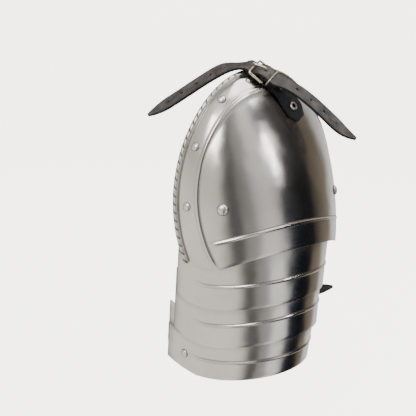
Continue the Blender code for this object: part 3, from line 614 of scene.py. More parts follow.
        def lines(level: float) -> list[float]:
            first = self.mouth_x(level) + self.roll_start
            start = self.border_x(level) + steps[0]
            return [lerp(first, start, k / self.strips) for k in range(self.strips)] + \
                   [self.border_x(level) + step for step in steps]

        table, lifts, shade_paints = [], [], []
        for place, side in outline:
            line = []
            level = place[2] - self.rim
            angle = math.atan2(level - self.shoulder, place[1])
            for row in range(self.strips + len(steps)):
                if side:
                    x = lines(level)[row]
                    line.append((x, side * self.side_y(x, level), self.rim + level))
                    continue

                def inside(radius: float) -> bool:
                    here = self.shoulder + radius * math.sin(angle)
                    if here >= self.height:
                        return False
                    return self.side_y(lines(here)[row], here) > abs(radius * math.cos(angle))

                radius = solve(inside, 0.0, self.height)
                here = self.shoulder + radius * math.sin(angle)
                line.append((lines(here)[row], radius * math.cos(angle), self.rim + here))
            line.append(tuple(place))
            table.append(line)
            both = [self.marks(x, z - self.rim, 1.0) for x, _, z in line]
            lifts.append([lift for lift, _ in both])
            shade_paints.append([shade_paint for _, shade_paint in both])
        return (np.array(table).transpose(1, 0, 2), np.array(lifts).T, np.array(shade_paints).T)

    def roll_path(self, band: np.ndarray) -> tuple[list[np.ndarray], list[np.ndarray]]:
        """Middle line of the roll and the plate's outward direction along it."""
        places, outwards = [], []
        count = band.shape[1]
        for k in range(count):
            edge, inner = band[0, k], band[1, k]
            along = band[0, min(k + 1, count - 1)] - band[0, max(k - 1, 0)]
            inward = unit(inner - edge)
            normal = unit(np.cross(along, inward))
            if normal @ np.array((edge[0] * 0.2 + 0.01, edge[1], edge[2] + 0.16)) < 0.0:
                normal = -normal
            places.append(edge - inward * self.roll_start + normal * self.roll_lift)
            outwards.append(normal)
        return places, outwards

    def build(self) -> None:
        """Build and dress the plate and its roped roll."""
        places, lifts, shade_paints = self.panel()
        band_places, band_lifts, band_shade_paints = self.band(places)
        plate = grid("cop_plate", places, {"lift": lifts, "painted_shade": shade_paints})
        border = grid("cop_border", band_places, {"lift": band_lifts, "painted_shade": band_shade_paints})
        plate = join(plate, [border])
        merge_close(plate)
        centre = Vector((-0.02, 0.0, -0.14))
        flip_if(plate, lambda place: place - centre)
        raise_beads(plate)
        apply_modifier(plate, "SOLIDIFY", thickness=self.wall, offset=-1.0, use_even_offset=True,
                       material_offset=1)
        apply_modifier(plate, "BEVEL", width=0.25 * MM, segments=2, limit_method="ANGLE",
                       angle_limit=math.radians(55))
        dress(plate, (self.finishes.steel, self.finishes.inner), ("shoulder_cop",))
        path, outwards = self.roll_path(band_places)
        rope = tube("roped_roll", path, self.roll_radius, outwards=outwards, spacing=0.6 * MM, sides=20,
                    nick_pitch=self.nick_pitch)
        dress(rope, (self.finishes.rope,), (), angle=60.0)


def resample(places: Sequence[Sequence[float]], spacing: float, closed: bool = False,
             extra: Sequence[Sequence[float]] | None = None) -> tuple[np.ndarray, np.ndarray | None, float]:
    """Points at an even spacing along a line.

    Args:
        places: Points of the line.
        spacing: Wanted distance between the new points.
        closed: Whether the line is a ring.
        extra: Directions along the line, to be carried to the new points.

    Returns:
        The new points, the carried directions and the line's length.
    """
    points = np.array(places, float)
    carried = None if extra is None else np.array(extra, float)
    if closed:
        points = np.vstack((points, points[:1]))
    travel = np.concatenate(([0.0], np.cumsum(np.linalg.norm(np.diff(points, axis=0), axis=1))))
    count = max(int(round(travel[-1] / spacing)), 4)
    wanted = np.linspace(0.0, travel[-1], count + 1)
    fresh = np.stack([np.interp(wanted, travel, points[:, k]) for k in range(3)], 1)
    if carried is not None:
        carried = np.stack([np.interp(wanted, travel, carried[:, k]) for k in range(3)], 1)
    return fresh, carried, float(travel[-1])


def tube(name: str, path: Sequence[Sequence[float]], radius: float, closed: bool = False,
         outwards: Sequence[Sequence[float]] | None = None, spacing: float = 0.6 * MM, sides: int = 16,
         nick_pitch: float = 0.0) -> bpy.types.Object:
    """A round wire or a roped roll along a line.

    Args:
        name: Name of the object.
        path: Points of the middle line.
        radius: Radius of the wire.
        closed: Whether the wire is a ring.
        outwards: Outward direction at each point of the path.
        spacing: Distance between rings.
        sides: Points round each ring.
        nick_pitch: Distance between slanting nicks, or 0 for a plain wire.

    Returns:
        The closed tube.
    """
    points, carried, length = resample(path, spacing, closed, outwards)
    count = len(points)
    table = np.zeros((count, sides + 1, 3))
    shade_paint = np.zeros((count, sides + 1))
    normal = None
    nicks = max(int(round(length / nick_pitch)), 1) if nick_pitch else 0
    for k, place in enumerate(points):
        if closed:
            along = unit(points[(k + 1) % (count - 1)] - points[(k - 1) % (count - 1)])
        else:
            along = unit(points[min(k + 1, count - 1)] - points[max(k - 1, 0)])
        if carried is not None:
            normal = carried[k]
        elif normal is None:
            normal = np.cross(along, (0.3, 0.5, 0.8))
        normal = unit(normal - along * (normal @ along))
        other = np.cross(along, normal)
        ending = 1.0
        if not closed:
            near = min(k, count - 1 - k) * spacing / radius
            ending = math.sqrt(max(1.0 - max(1.0 - near, 0.0) ** 2, 0.0))
        for side in range(sides + 1):
            angle = 2.0 * math.pi * side / sides
            size = radius * ending
            if nicks:
                phase = (k / (count - 1) * nicks + 0.42 * math.cos(angle - 0.5 * math.pi)) % 1.0
                depth = math.exp(-((phase - 0.5) / 0.11) ** 2)
                outer = smooth_share((math.cos(angle - 0.05 * math.pi) - 0.45) / 0.4)
                size *= 1.0 - 0.16 * depth * (0.2 + 0.8 * outer)
                # Painted shade in each nick, on the roll's outer side
                shade_paint[k, side] = min(1.9 * depth, 1.0) * outer
            table[k, side] = place + (normal * math.cos(angle) + other * math.sin(angle)) * size
    item = grid(name, table, {"painted_shade": shade_paint})
    merge_close(item)
    return item


@dataclass(frozen=True)
class LameSizes:
    """Sizes of one lame's lower edge, in metres, with levels counted from the cop's rim."""

    name: str
    level: float
    drop: float
    reach: float
    half_width: float
    inset: float
    crease: float


@dataclass
class LameStack:
    """The three half-ring plates, each tucked inside the one above."""

    finishes: Finishes
    bead: Bead
    cop: CopShell
    overlap: float = 28.0 * MM
    nest_room: float = 0.6 * MM
    corner: float = 0.90
    columns: int = 132
    lames: tuple[LameSizes, ...] = (
        LameSizes("upper_lame", -0.0377, 0.0142, 0.0907, 0.0915, 0.0009, 0.0258),
        LameSizes("middle_lame", -0.0806, 0.0186, 0.0930, 0.0891, 0.0063, 0.0256),
        LameSizes("lower_lame", -0.1262, 0.0183, 0.0901, 0.0869, 0.0201, 0.0227),
    )

    def low(self, index: int, share: float) -> float:
        """Level of a lame's lower edge, by share of its half width."""
        lame = self.lames[index]
        return lame.level - lame.drop * (min(share, self.corner) / self.corner) ** 2

    def cover(self, index: int, share: float) -> float:
        """Level at which the plate above ends."""
        if index:
            return self.low(index - 1, share)
        panel_half = self.cop.side_y(self.cop.edge_x(0.0), 0.0)
        return self.cop.arch * (1.0 - min(share * self.lames[0].half_width / panel_half, 1.0) ** 2)

    def above(self, index: int, share: float, level: float) -> tuple[float, float]:
        """Reach and half width of the plate above a lame."""
        if index:
            return self.size(index - 1, share, level)
        return self.cop.reach_at(level), self.cop.half_at(level)

    def size(self, index: int, share: float, level: float) -> tuple[float, float]:
        """Reach and half width of a lame's outer face at a level."""
        lame = self.lames[index]
        low, cover = self.low(index, share), self.cover(index, share)
        room = self.cop.wall + self.nest_room
        lid_reach, lid_half = self.above(index, share, cover)
        climb = (min(level, cover) - low) / (cover - low)
        reach = lerp(lame.reach, lid_reach - room, climb)
        half = lerp(lame.half_width, min(lid_half - room, lame.half_width), climb)
        if level > cover:
            lid_reach, lid_half = self.above(index, share, level)
            reach, half = lid_reach - room, min(half, lid_half - room)
        return reach, half

    def build(self) -> None:
        """Build and dress the three lames."""
        steps = self.bead.steps(14)
        for index, lame in enumerate(self.lames):
            table, lifts, shade_paints = [], [], []
            for k in range(self.columns + 1):
                turn = math.pi * (k / self.columns - 0.5)
                share = abs(math.sin(turn))
                low, cover = self.low(index, share), self.cover(index, share)
                fade = smooth_share((0.5 * math.pi - abs(turn)) / 0.42 - 0.45)
                start = lame.crease + steps[0]
                levels = [low + start * k / 6 for k in range(6)] + [low + lame.crease + step for step in steps]
                levels += [lerp(levels[-1], cover - 2.0 * MM, 0.5), cover - 2.0 * MM, cover - 1.0 * MM, cover]
                levels += [cover + self.overlap * k / 4 for k in range(1, 5)]
                line, up, dark = [], [], []
                for level in levels:
                    reach, half = self.size(index, share, level)
                    line.append((-lame.inset + (reach + lame.inset) * math.cos(turn), half * math.sin(turn),
                                 self.cop.rim + level))
                    beside = level - low - lame.crease
                    up.append(self.bead.lift(beside) * fade)
                    shade = 0.85 * self.bead.shade_paint(beside) * fade
                    # Painted shadow: a thin dark line just under the lower edge of the plate above
                    gap = (level - cover + 0.7 * MM) / (1.0 * MM)
                    dark.append(max(shade, 0.9 * math.exp(-gap * gap)))
                table.append(line)
                lifts.append(up)
                shade_paints.append(dark)
            plate = grid(f"{lame.name}_plate", np.array(table).transpose(1, 0, 2),
                         {"lift": np.array(lifts).T, "painted_shade": np.array(shade_paints).T})
            flip_if(plate, lambda place: Vector((place.x + 0.03, place.y, 0.0)))
            raise_beads(plate)
            apply_modifier(plate, "SOLIDIFY", thickness=self.cop.wall, offset=-1.0, use_even_offset=True,
                           material_offset=1)
            apply_modifier(plate, "BEVEL", width=0.25 * MM, segments=2, limit_method="ANGLE",
                           angle_limit=math.radians(55))
            dress(plate, (self.finishes.steel, self.finishes.inner), (lame.name,))


@dataclass(frozen=True)
class Rivet:
    """One rivet: the CAD node, its seat on the outer face, the outward direction and its sizes in mm."""

    node: str
    seat: tuple[float, float, float]
    facing: tuple[float, float, float]
    radius: float
    stack: float
    form: HeadForm = HeadForm.DOMED


@dataclass
class RivetWork:
    """The rivets that show: a turned head outside and a peened tail inside."""

    finishes: Finishes
    rivets: tuple[Rivet, ...] = (
        Rivet("border_rivet_1", (21.86, -98.86, -123.8), (0.3731, -0.9122, 0.1695), 4.1, 1.2),
        Rivet("border_rivet_2", (11.35, -85.98, -67.8), (0.3265, -0.8614, 0.389), 4.1, 1.2),
        Rivet("border_rivet_3", (8.49, -56.46, -23.8), (0.4813, -0.5781, 0.6589), 4.1, 1.2),
        Rivet("border_rivet_4", (21.86, 98.86, -123.8), (0.3731, 0.9122, 0.1695), 4.1, 1.2),
        Rivet("border_rivet_5", (11.35, 85.98, -67.8), (0.3265, 0.8614, 0.389), 4.1, 1.2),
        Rivet("border_rivet_6", (8.49, 56.46, -23.8), (0.4813, 0.5781, 0.6589), 4.1, 1.2),
        Rivet("cop_rivet_front", (50.2, -76.24, -120.8), (0.7533, -0.6068, 0.2537), 5.4, 4.0),
        Rivet("cop_rivet_back", (50.2, 76.24, -120.8), (0.7533, 0.6068, 0.2537), 5.4, 4.0),
        Rivet("tab_rivet", (31.21, 17.22, -29.6), (0.8219, 0.1001, 0.5607), 4.5, 3.4, HeadForm.RINGED),
        Rivet("fold_rivet", (23.17, 4.58, -11.84), (0.7691, 0.0255, 0.6386), 2.2, 6.8),
        Rivet("lame_rivet_front", (10.31, -83.56, -304.3), (0.2189, -0.9757, -0.0015), 4.6, 3.3),
        Rivet("lame_rivet_back", (10.31, 83.56, -304.3), (0.2189, 0.9757, -0.0015), 4.6, 3.3),
    )

    def turned(self, name: str, profile: Sequence[tuple[float, float]]) -> bpy.types.Object:
        """Raise a round solid from a disc by extruding and scaling its face.

        Args:
            name: Name of the object.
            profile: Radius and height of each step, in mm, from the foot up.

        Returns:
            The closed solid, standing on Z.
        """
        deselect()
        radius, height = profile[0]
        bpy.ops.mesh.primitive_circle_add(vertices=28, radius=radius * MM, fill_type="NGON",
                                          location=(0.0, 0.0, height * MM))
        item = bpy.context.object
        item.name = name
        bpy.ops.object.transform_apply(location=True, rotation=False, scale=False)
        bpy.ops.object.mode_set(mode="EDIT")
        bpy.ops.mesh.select_all(action="SELECT")
        for (before, low), (after, high) in zip(profile, profile[1:]):
            bpy.ops.mesh.extrude_region_move(TRANSFORM_OT_translate={"value": (0.0, 0.0, (high - low) * MM)})
            share = after / before
            bpy.ops.transform.resize(value=(share, share, 1.0), center_override=(0.0, 0.0, 0.0))
        bpy.ops.mesh.select_all(action="SELECT")
        bpy.ops.mesh.normals_make_consistent(inside=False)
        bpy.ops.object.mode_set(mode="OBJECT")
        return item

    def profile(self, rivet: Rivet) -> list[tuple[float, float]]:
        """Steps of a rivet's head, in mm."""
        size = rivet.radius
        if rivet.form is HeadForm.RINGED:
            tall = 1.8
            return [(size * 0.94, -0.15), (size, 0.2), (size, 0.45 * tall), (size * 0.9, 0.85 * tall),
                    (size * 0.78, tall), (size * 0.62, 0.92 * tall), (size * 0.52, 0.55 * tall),
                    (size * 0.42, 0.35 * tall), (size * 0.2, 0.5 * tall), (0.02, 0.52 * tall)]
        tall = 0.55 * size
        steps = [(size * 1.06, -0.15), (size * 1.07, 0.1), (size, 0.16)]
        steps += [(size * math.cos(turn), 0.16 + (tall - 0.16) * math.sin(turn))
                  for turn in (0.22, 0.45, 0.7, 0.95, 1.2, 1.4)]
        return steps + [(0.02, tall)]

    def build(self) -> None:
        """Build and dress each rivet."""
        for rivet in self.rivets:
            head = self.turned(f"{rivet.node}_head", self.profile(rivet))
            foot = -rivet.stack - 0.5
            tail = self.turned(f"{rivet.node}_tail", [(1.6, 0.0), (1.6, foot + 0.1), (3.2, foot), (3.4, foot - 0.3),
                                                      (2.6, foot - 0.85), (0.9, foot - 1.0), (0.02, foot - 1.0)])
            piece = join(head, [tail])
            piece.name = f"{rivet.node}_head"
            turn = Vector((0.0, 0.0, 1.0)).rotation_difference(Vector(rivet.facing))
            seat = Vector(rivet.seat) * MM
            piece.data.transform(Matrix.Translation(seat) @ turn.to_matrix().to_4x4())
            # Painted shade: a dark ring at the foot of each head and over the whole hollow of the ringed head; below
            # the plate's face the shank and tail get a quarter of it
            rim = piece.data.attributes.new("painted_shade", "FLOAT", "POINT")
            facing = Vector(rivet.facing).normalized()
            for vertex, value in zip(piece.data.vertices, rim.data):
                offset = vertex.co - seat
                rise = offset.dot(facing)
                out = (offset - facing * rise).length
                ringed = rivet.form is HeadForm.RINGED and out < 0.56 * rivet.radius * MM
                if rise < -0.3 * MM:
                    value.value = 0.25
                elif ringed:
                    value.value = 1.0
                else:
                    value.value = math.exp(-(max(rise - 0.1 * MM, 0.0) / (0.25 * MM)) ** 2)
            dress(piece, (self.finishes.rivet,), (rivet.node,), angle=50.0)


Station = tuple[float, float, float, float, float, float, float]


def spline(values: np.ndarray, steps: int) -> np.ndarray:
    """Rows of a smooth curve through the given rows."""
    padded = np.vstack((2 * values[0] - values[1], values, 2 * values[-1] - values[-2]))
    out = []
    for k in range(1, len(padded) - 2):
        a, b, c, d = padded[k - 1:k + 3]
        for step in range(steps):
            t = step / steps
            out.append(0.5 * (2 * b + (c - a) * t + (2 * a - 5 * b + 4 * c - d) * t ** 2
                              + (3 * b - a - 3 * c + d) * t ** 3))
    out.append(values[-1])
    return np.array(out)


@dataclass
class Strip:
    """A leather strip through stations of place, facing and half width, in mm."""

    name: str
    nodes: tuple[str, ...]
    stations: tuple[Station, ...]
    thickness: float
    face: bpy.types.Material
    under: bpy.types.Material
    slot_name: str
    holes: tuple[tuple[float, ...], ...] = ()
    across: int = 10
    edge_share: float = 0.14
    crown: float = 0.12 * MM

    def build(self) -> None:
        """Build and dress the strip."""
        rows = spline(np.array(self.stations), 3)
        places = rows[:, :3] * MM
        table, edges = [], []
        last = len(rows) - 1
        for k, row in enumerate(rows):
            along = unit(places[min(k + 1, last)] - places[max(k - 1, 0)])
            side = unit(np.cross(row[3:6], along))
            normal = unit(np.cross(along, side))
            half = row[6] * MM
            line, rim = [], []
            for j in range(self.across + 1):
                share = math.sin(0.5 * math.pi * (2.0 * j / self.across - 1.0))
                line.append(places[k] + side * half * share + normal * self.crown * (1.0 - share ** 2))
                rim.append(smooth_share((abs(share) - 1.0 + self.edge_share) / (0.5 * self.edge_share)))
            table.append(line)
            edges.append(rim)
        item = grid(self.name, np.array(table), {"edge": np.array(edges)})
        facing = Vector(self.stations[0][3:6])
        if item.data.polygons[0].normal.dot(facing) < 0.0:
            activate(item)
            bpy.ops.object.mode_set(mode="EDIT")
            bpy.ops.mesh.select_all(action="SELECT")
            bpy.ops.mesh.flip_normals()
            bpy.ops.object.mode_set(mode="OBJECT")
        apply_modifier(item, "SOLIDIFY", thickness=self.thickness * MM, offset=0.0, use_even_offset=True,
                       material_offset=1, material_offset_rim=1)
        apply_modifier(item, "BEVEL", width=0.35 * MM, segments=3, limit_method="ANGLE",
                       angle_limit=math.radians(50))
        self.punch(item)
        dress(item, (self.face, self.under), self.nodes, angle=42.0)

    def punch(self, item: bpy.types.Object) -> None:
        """Cut the strip's holes.

        Args:
            item: The strip.
        """
        for x, y, z, nx, ny, nz, radius in self.holes:
            deselect()
            bpy.ops.mesh.primitive_cylinder_add(vertices=24, radius=radius * MM, depth=8.0 * MM)
            cutter = bpy.context.object
            turn = Vector((0.0, 0.0, 1.0)).rotation_difference(Vector((nx, ny, nz)))
            cutter.data.transform(Matrix.Translation(Vector((x, y, z)) * MM) @ turn.to_matrix().to_4x4())
            apply_modifier(item, "BOOLEAN", operation="DIFFERENCE", solver="EXACT", object=cutter)
            bpy.data.objects.remove(cutter, do_unlink=True)


@dataclass
class StrapWork:
    """The tab, the shoulder strap, the arm strap and the short strip of its buckle."""

    finishes: Finishes

    def build(self) -> None:
        """Build and dress the four strips."""
        strips = (
            Strip("shoulder_strap_leather", ("shoulder_strap",), SHOULDER_STRAP, 2.2, self.finishes.strap,
                  self.finishes.back, "worn_leather", holes=STRAP_HOLES),
            Strip("buckle_tab_leather", ("buckle_tab",), BUCKLE_TAB, 1.6, self.finishes.black,
                  self.finishes.back, "black_leather", edge_share=0.1),
            Strip("arm_strap_leather", ("arm_strap",), ARM_STRAP, 1.8, self.finishes.black,
                  self.finishes.black, "black_leather"),
            Strip("arm_buckle_strip", ("arm_buckle_tab",), ARM_BUCKLE_STRIP, 1.8, self.finishes.black,
                  self.finishes.black, "black_leather"),
        )
        for strip in strips:
            strip.build()


@dataclass
class BuckleWork:
    """The shoulder buckle's frame, tongue and keeper, and the plain arm buckle. Sizes in mm."""

    finishes: Finishes
    heel: tuple[float, float, float] = (13.32, -6.14, -2.64)
    along: tuple[float, float, float] = (0.6071, 0.5486, -0.5749)
    across: tuple[float, float, float] = (-0.3772, 0.8357, 0.3992)
    up: tuple[float, float, float] = (0.6994, -0.0255, 0.7143)
    length: float = 16.5
    inner_width: float = 22.5
    wire: float = 1.2
    tongue: float = 1.0
    tongue_root: float = 0.29
    tongue_overhang: float = 3.0
    keeper: float = 0.8
    keeper_ahead: float = 4.5
    strap_rise: float = 4.5
    strap_thickness: float = 2.2
    strap_width: float = 19.5
    arm_bar: tuple[float, float, float] = (-29.1, 84.2, -304.3)
    arm_length: float = 15.0
    arm_strap_width: float = 16.5
    gap: float = 0.3

    def at(self, run: float, over: float, rise: float) -> np.ndarray:
        """Place on the shoulder buckle's own axes, in metres."""
        return MM * (np.array(self.heel) + np.array(self.along) * run + np.array(self.across) * over
                     + np.array(self.up) * rise)

    def loop(self, origin: np.ndarray, first: Sequence[float], second: Sequence[float], low: float, high: float,
             half: float, corner: float) -> list[np.ndarray]:
        """A rectangle with round corners.

        Args:
            origin: Place that the distances count from, in metres.
            first: Direction from low to high.
            second: Direction of the two long halves.
            low: Start along the first direction.
            high: End along the first direction.
            half: Half the size along the second direction.
            corner: Radius of the corners.

        Returns:
            The ring's points, in metres.
        """
        first, second = np.array(first), np.array(second)
        path = []
        centres = ((high - corner, half - corner, 0.0), (low + corner, half - corner, 0.5),
                   (low + corner, corner - half, 1.0), (high - corner, corner - half, 1.5))
        for run, over, quarter in centres:
            for k in range(7):
                angle = math.pi * (quarter + 0.5 * k / 6)
                path.append(origin + MM * (first * (run + corner * math.cos(angle))
                                           + second * (over + corner * math.sin(angle))))
        return path

    def build(self) -> None:
        """Build and dress the four wire pieces."""
        half = 0.5 * self.inner_width + self.wire
        ring = self.loop(self.at(0, 0, 0), self.along, self.across, -self.length, 0.0, half, 2.0 * self.wire)
        item = tube("buckle_frame_wire", ring, self.wire * MM, closed=True, spacing=0.5 * MM)
        dress(item, (self.finishes.wire,), ("buckle_frame",), angle=60.0)

        clear = self.wire + self.tongue + self.gap
        high = self.strap_rise + 0.5 * self.strap_thickness + self.gap + self.tongue
        root = -self.tongue_root * self.length
        corners = [(root, self.wire), (root, 0.75 * high), (1.2 * root, high), (-0.5 * self.length, high),
                   (-0.75 * self.length, lerp(high, clear, 0.5)), (-self.length, clear),
                   (-self.length - self.tongue_overhang, clear)]
        smooth = spline(np.array([self.at(run, 0.0, rise) for run, rise in corners]), 4)
        item = tube("buckle_tongue_wire", smooth, self.tongue * MM, spacing=0.4 * MM)
        dress(item, (self.finishes.wire,), ("buckle_tongue",), angle=60.0)

        half = 0.5 * self.strap_width + 2.0 * self.gap + self.keeper
        high = self.strap_rise + 0.5 * self.strap_thickness + 2.0 * self.gap + self.keeper
        ring = self.loop(self.at(self.keeper_ahead, 0, 0), self.up, self.across, 0.0, high, half,
                         2.0 * self.keeper)
        item = tube("buckle_keeper_wire", ring, self.keeper * MM, closed=True, spacing=0.4 * MM)
        dress(item, (self.finishes.wire,), ("buckle_keeper",), angle=60.0)

        half = 0.5 * self.arm_strap_width + 3.0 * self.gap + self.wire
        ring = self.loop(np.array(self.arm_bar) * MM, (-1.0, 0.0, 0.0), (0.0, 0.0, 1.0), 0.0, self.arm_length, half,
                         2.0 * self.wire)
        item = tube("arm_buckle_wire", ring, self.wire * MM, closed=True, spacing=0.5 * MM)
        dress(item, (self.finishes.wire,), ("arm_buckle",), angle=60.0)


@dataclass
class CarriedOver:
    """CAD nodes that stay as they are inside the plates, with a finish of their own."""

    finishes: Finishes

    def build(self) -> None:
        """Give each node that stays its material."""
        looks = {"front_leather": self.finishes.black, "back_leather": self.finishes.black}
        for lame in ("upper_lame", "middle_lame", "lower_lame"):
            for side in ("front", "back"):
                looks[f"{lame}_rivet_{side}"] = self.finishes.rivet
        for node, material in looks.items():
            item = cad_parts[node]
            for place in item.material_slots:
                place.material = material
            LOG.info("%s: carried over", node)


@dataclass
class Studio:
    """Pale floor, soft lights and the camera at the photograph's angle."""

    floor_level: float = -0.52
    camera_place: tuple[float, float, float] = (0.42464, -0.36187, 0.05210)
    right: tuple[float, float, float] = (0.56179, 0.82476, 0.06453)
    upward: tuple[float, float, float] = (-0.31830, 0.14350, 0.93707)
    forward: tuple[float, float, float] = (-0.76359, 0.54697, -0.34314)
    lens: float = 45.749

    def floor(self) -> None:
        """A plain pale floor that curves up far behind."""
        deselect()
        bpy.ops.mesh.primitive_grid_add(x_subdivisions=40, y_subdivisions=40, size=14.0,
                                        location=(0.0, 0.0, self.floor_level))
        item = bpy.context.object
        item.name = "studio_floor"
        bpy.ops.object.transform_apply(location=True)
        for vertex in item.data.vertices:
            far = max(math.hypot(vertex.co.x, vertex.co.y) - 3.2, 0.0)
            vertex.co.z += 0.45 * far * far
        activate(item)
        bpy.ops.object.shade_smooth()
        material = bpy.data.materials.new("matt_paper")
        material.use_nodes = True
        shader = material.node_tree.nodes["Principled BSDF"]
        shader.inputs["Base Color"].default_value = linear("F4F2EF")
        shader.inputs["Roughness"].default_value = 0.9
        shader.inputs["Emission Color"].default_value = linear("F4F2EF")
        shader.inputs["Emission Strength"].default_value = 1.5
        item.data.materials.append(material)
        item.visible_glossy = False

    def light(self, name: str, place: tuple[float, float, float], target: tuple[float, float, float],
              size: tuple[float, float], power: float, mirrored: bool = True) -> None:
        """Add a soft box.

        Args:
            name: Name of the light.
            place: Where it stands.
            target: What it faces.
            size: Width and height.
            power: Watts.
            mirrored: Whether the steel mirrors it.
        """
        data = bpy.data.lights.new(name, "AREA")
        data.shape = "RECTANGLE"
        data.size, data.size_y = size
        data.energy = power
        item = bpy.data.objects.new(name, data)
        bpy.context.collection.objects.link(item)
        item.visible_glossy = mirrored
        item.location = place
        item.rotation_euler = (Vector(target) - Vector(place)).to_track_quat("-Z", "Y").to_euler()

    def sky(self) -> None:
        """Pale surroundings with darker upright bands for the steel to mirror."""
        world = bpy.data.worlds.new("studio")
        bpy.context.scene.world = world
        world.use_nodes = True
        tree = world.node_tree
        tree.nodes.clear()
        place = add_node(tree, "ShaderNodeTexCoord").outputs["Generated"]
        axes = add_node(tree, "ShaderNodeSeparateXYZ", {}, {0: place})
        turn = add_node(tree, "ShaderNodeMath", {"operation": "ARCTAN2"},
                        {0: axes.outputs[1], 1: axes.outputs[0]}).outputs[0]
        share = add_node(tree, "ShaderNodeMath", {"operation": "MULTIPLY_ADD"},
                         {0: turn, 1: 0.5 / math.pi, 2: 0.5}).outputs[0]
        # The bands behind the right half lean: higher up they stand nearer to the front
        rise = add_node(tree, "ShaderNodeMath", {"operation": "MAXIMUM"}, {0: axes.outputs[2], 1: 0.0}).outputs[0]
        past = add_node(tree, "ShaderNodeMath", {"operation": "SUBTRACT", "use_clamp": True},
                        {0: share, 1: 0.43}).outputs[0]
        lean = add_node(tree, "ShaderNodeMath", {"operation": "MULTIPLY"}, {0: rise, 1: past}).outputs[0]
        leaning = add_node(tree, "ShaderNodeMath", {"operation": "MULTIPLY_ADD"},
                           {0: lean, 1: 0.16, 2: share}).outputs[0]
        bands = ramp(tree, leaning, BANDS)
        level = add_node(tree, "ShaderNodeMath", {"operation": "MULTIPLY_ADD", "use_clamp": True},
                         {0: axes.outputs[2], 1: 0.5, 2: 0.5}).outputs[0]
        tiers = ramp(tree, level, TIERS)
        seen = add_node(tree, "ShaderNodeMix", {"data_type": "RGBA", "blend_type": "MULTIPLY"},
                        {0: 1.0, 6: bands, 7: tiers}).outputs[2]
        plain = add_node(tree, "ShaderNodeLightPath").outputs["Is Glossy Ray"]
        both = add_node(tree, "ShaderNodeMix", {"data_type": "RGBA"},
                        {0: plain, 6: grey(1.75), 7: seen}).outputs[2]
        back = add_node(tree, "ShaderNodeBackground", {}, {"Color": both, "Strength": 1.5}).outputs[0]
        add_node(tree, "ShaderNodeOutputWorld", {}, {"Surface": back})

    def camera(self) -> None:
        """Put the camera where the photograph was taken."""
        data = bpy.data.cameras.new("camera")
        data.lens = self.lens
        data.sensor_width = 36.0
        data.clip_start = 0.01
        item = bpy.data.objects.new("camera", data)
        bpy.context.collection.objects.link(item)
        axes = Matrix((self.right, self.upward, tuple(-value for value in self.forward))).transposed()
        item.matrix_world = Matrix.Translation(Vector(self.camera_place)) @ axes.to_4x4()
        bpy.context.scene.camera = item

    def build(self) -> None:
        """Build the whole studio."""
        self.floor()
        self.sky()
        self.light("key", (0.55, -1.10, 1.05), (0.03, 0.0, -0.12), (0.9, 0.7), 17.0)
        self.light("top", (0.20, 0.30, 1.30), (0.03, 0.0, -0.12), (1.0, 1.0), 14.0)
        self.light("rear", (0.9, 1.0, 0.35), (0.03, 0.0, -0.15), (0.35, 1.2), 7.0, mirrored=False)
        self.light("window", (0.966, 0.443, 0.556), (0.057, -0.02, -0.08), (0.13, 0.34), 1.8)
        self.camera()


# Places of the bands round the horizon: 0 and 1 face -X, 0.25 faces -Y, 0.5 faces +X, 0.75 faces +Y
BANDS = (
    (0.00, grey(0.30)), (0.08, grey(0.40)), (0.12, linear("FCFBF5")), (0.37, linear("FDFCF6")), (0.398, grey(0.30)),
    (0.410, grey(0.10)), (0.438, grey(0.11)), (0.455, grey(0.32)), (0.490, grey(0.38)), (0.512, grey(0.95)),
    (0.553, grey(1.00)), (0.580, linear("262C3E")), (0.615, linear("111319")), (0.668, linear("181A21")),
    (0.690, linear("6F675D")), (0.740, linear("857B70")), (0.765, grey(0.78)), (0.90, grey(0.70)),
    (0.93, grey(0.30)), (1.00, grey(0.30)),
)
# Places from straight down (0) over the horizon (0.5) to straight up (1)
TIERS = ((0.0, grey(1.00)), (0.42, grey(1.00)), (0.52, grey(0.88)), (0.66, grey(0.62)), (0.85, grey(0.86)),
         (1.0, grey(1.00)))

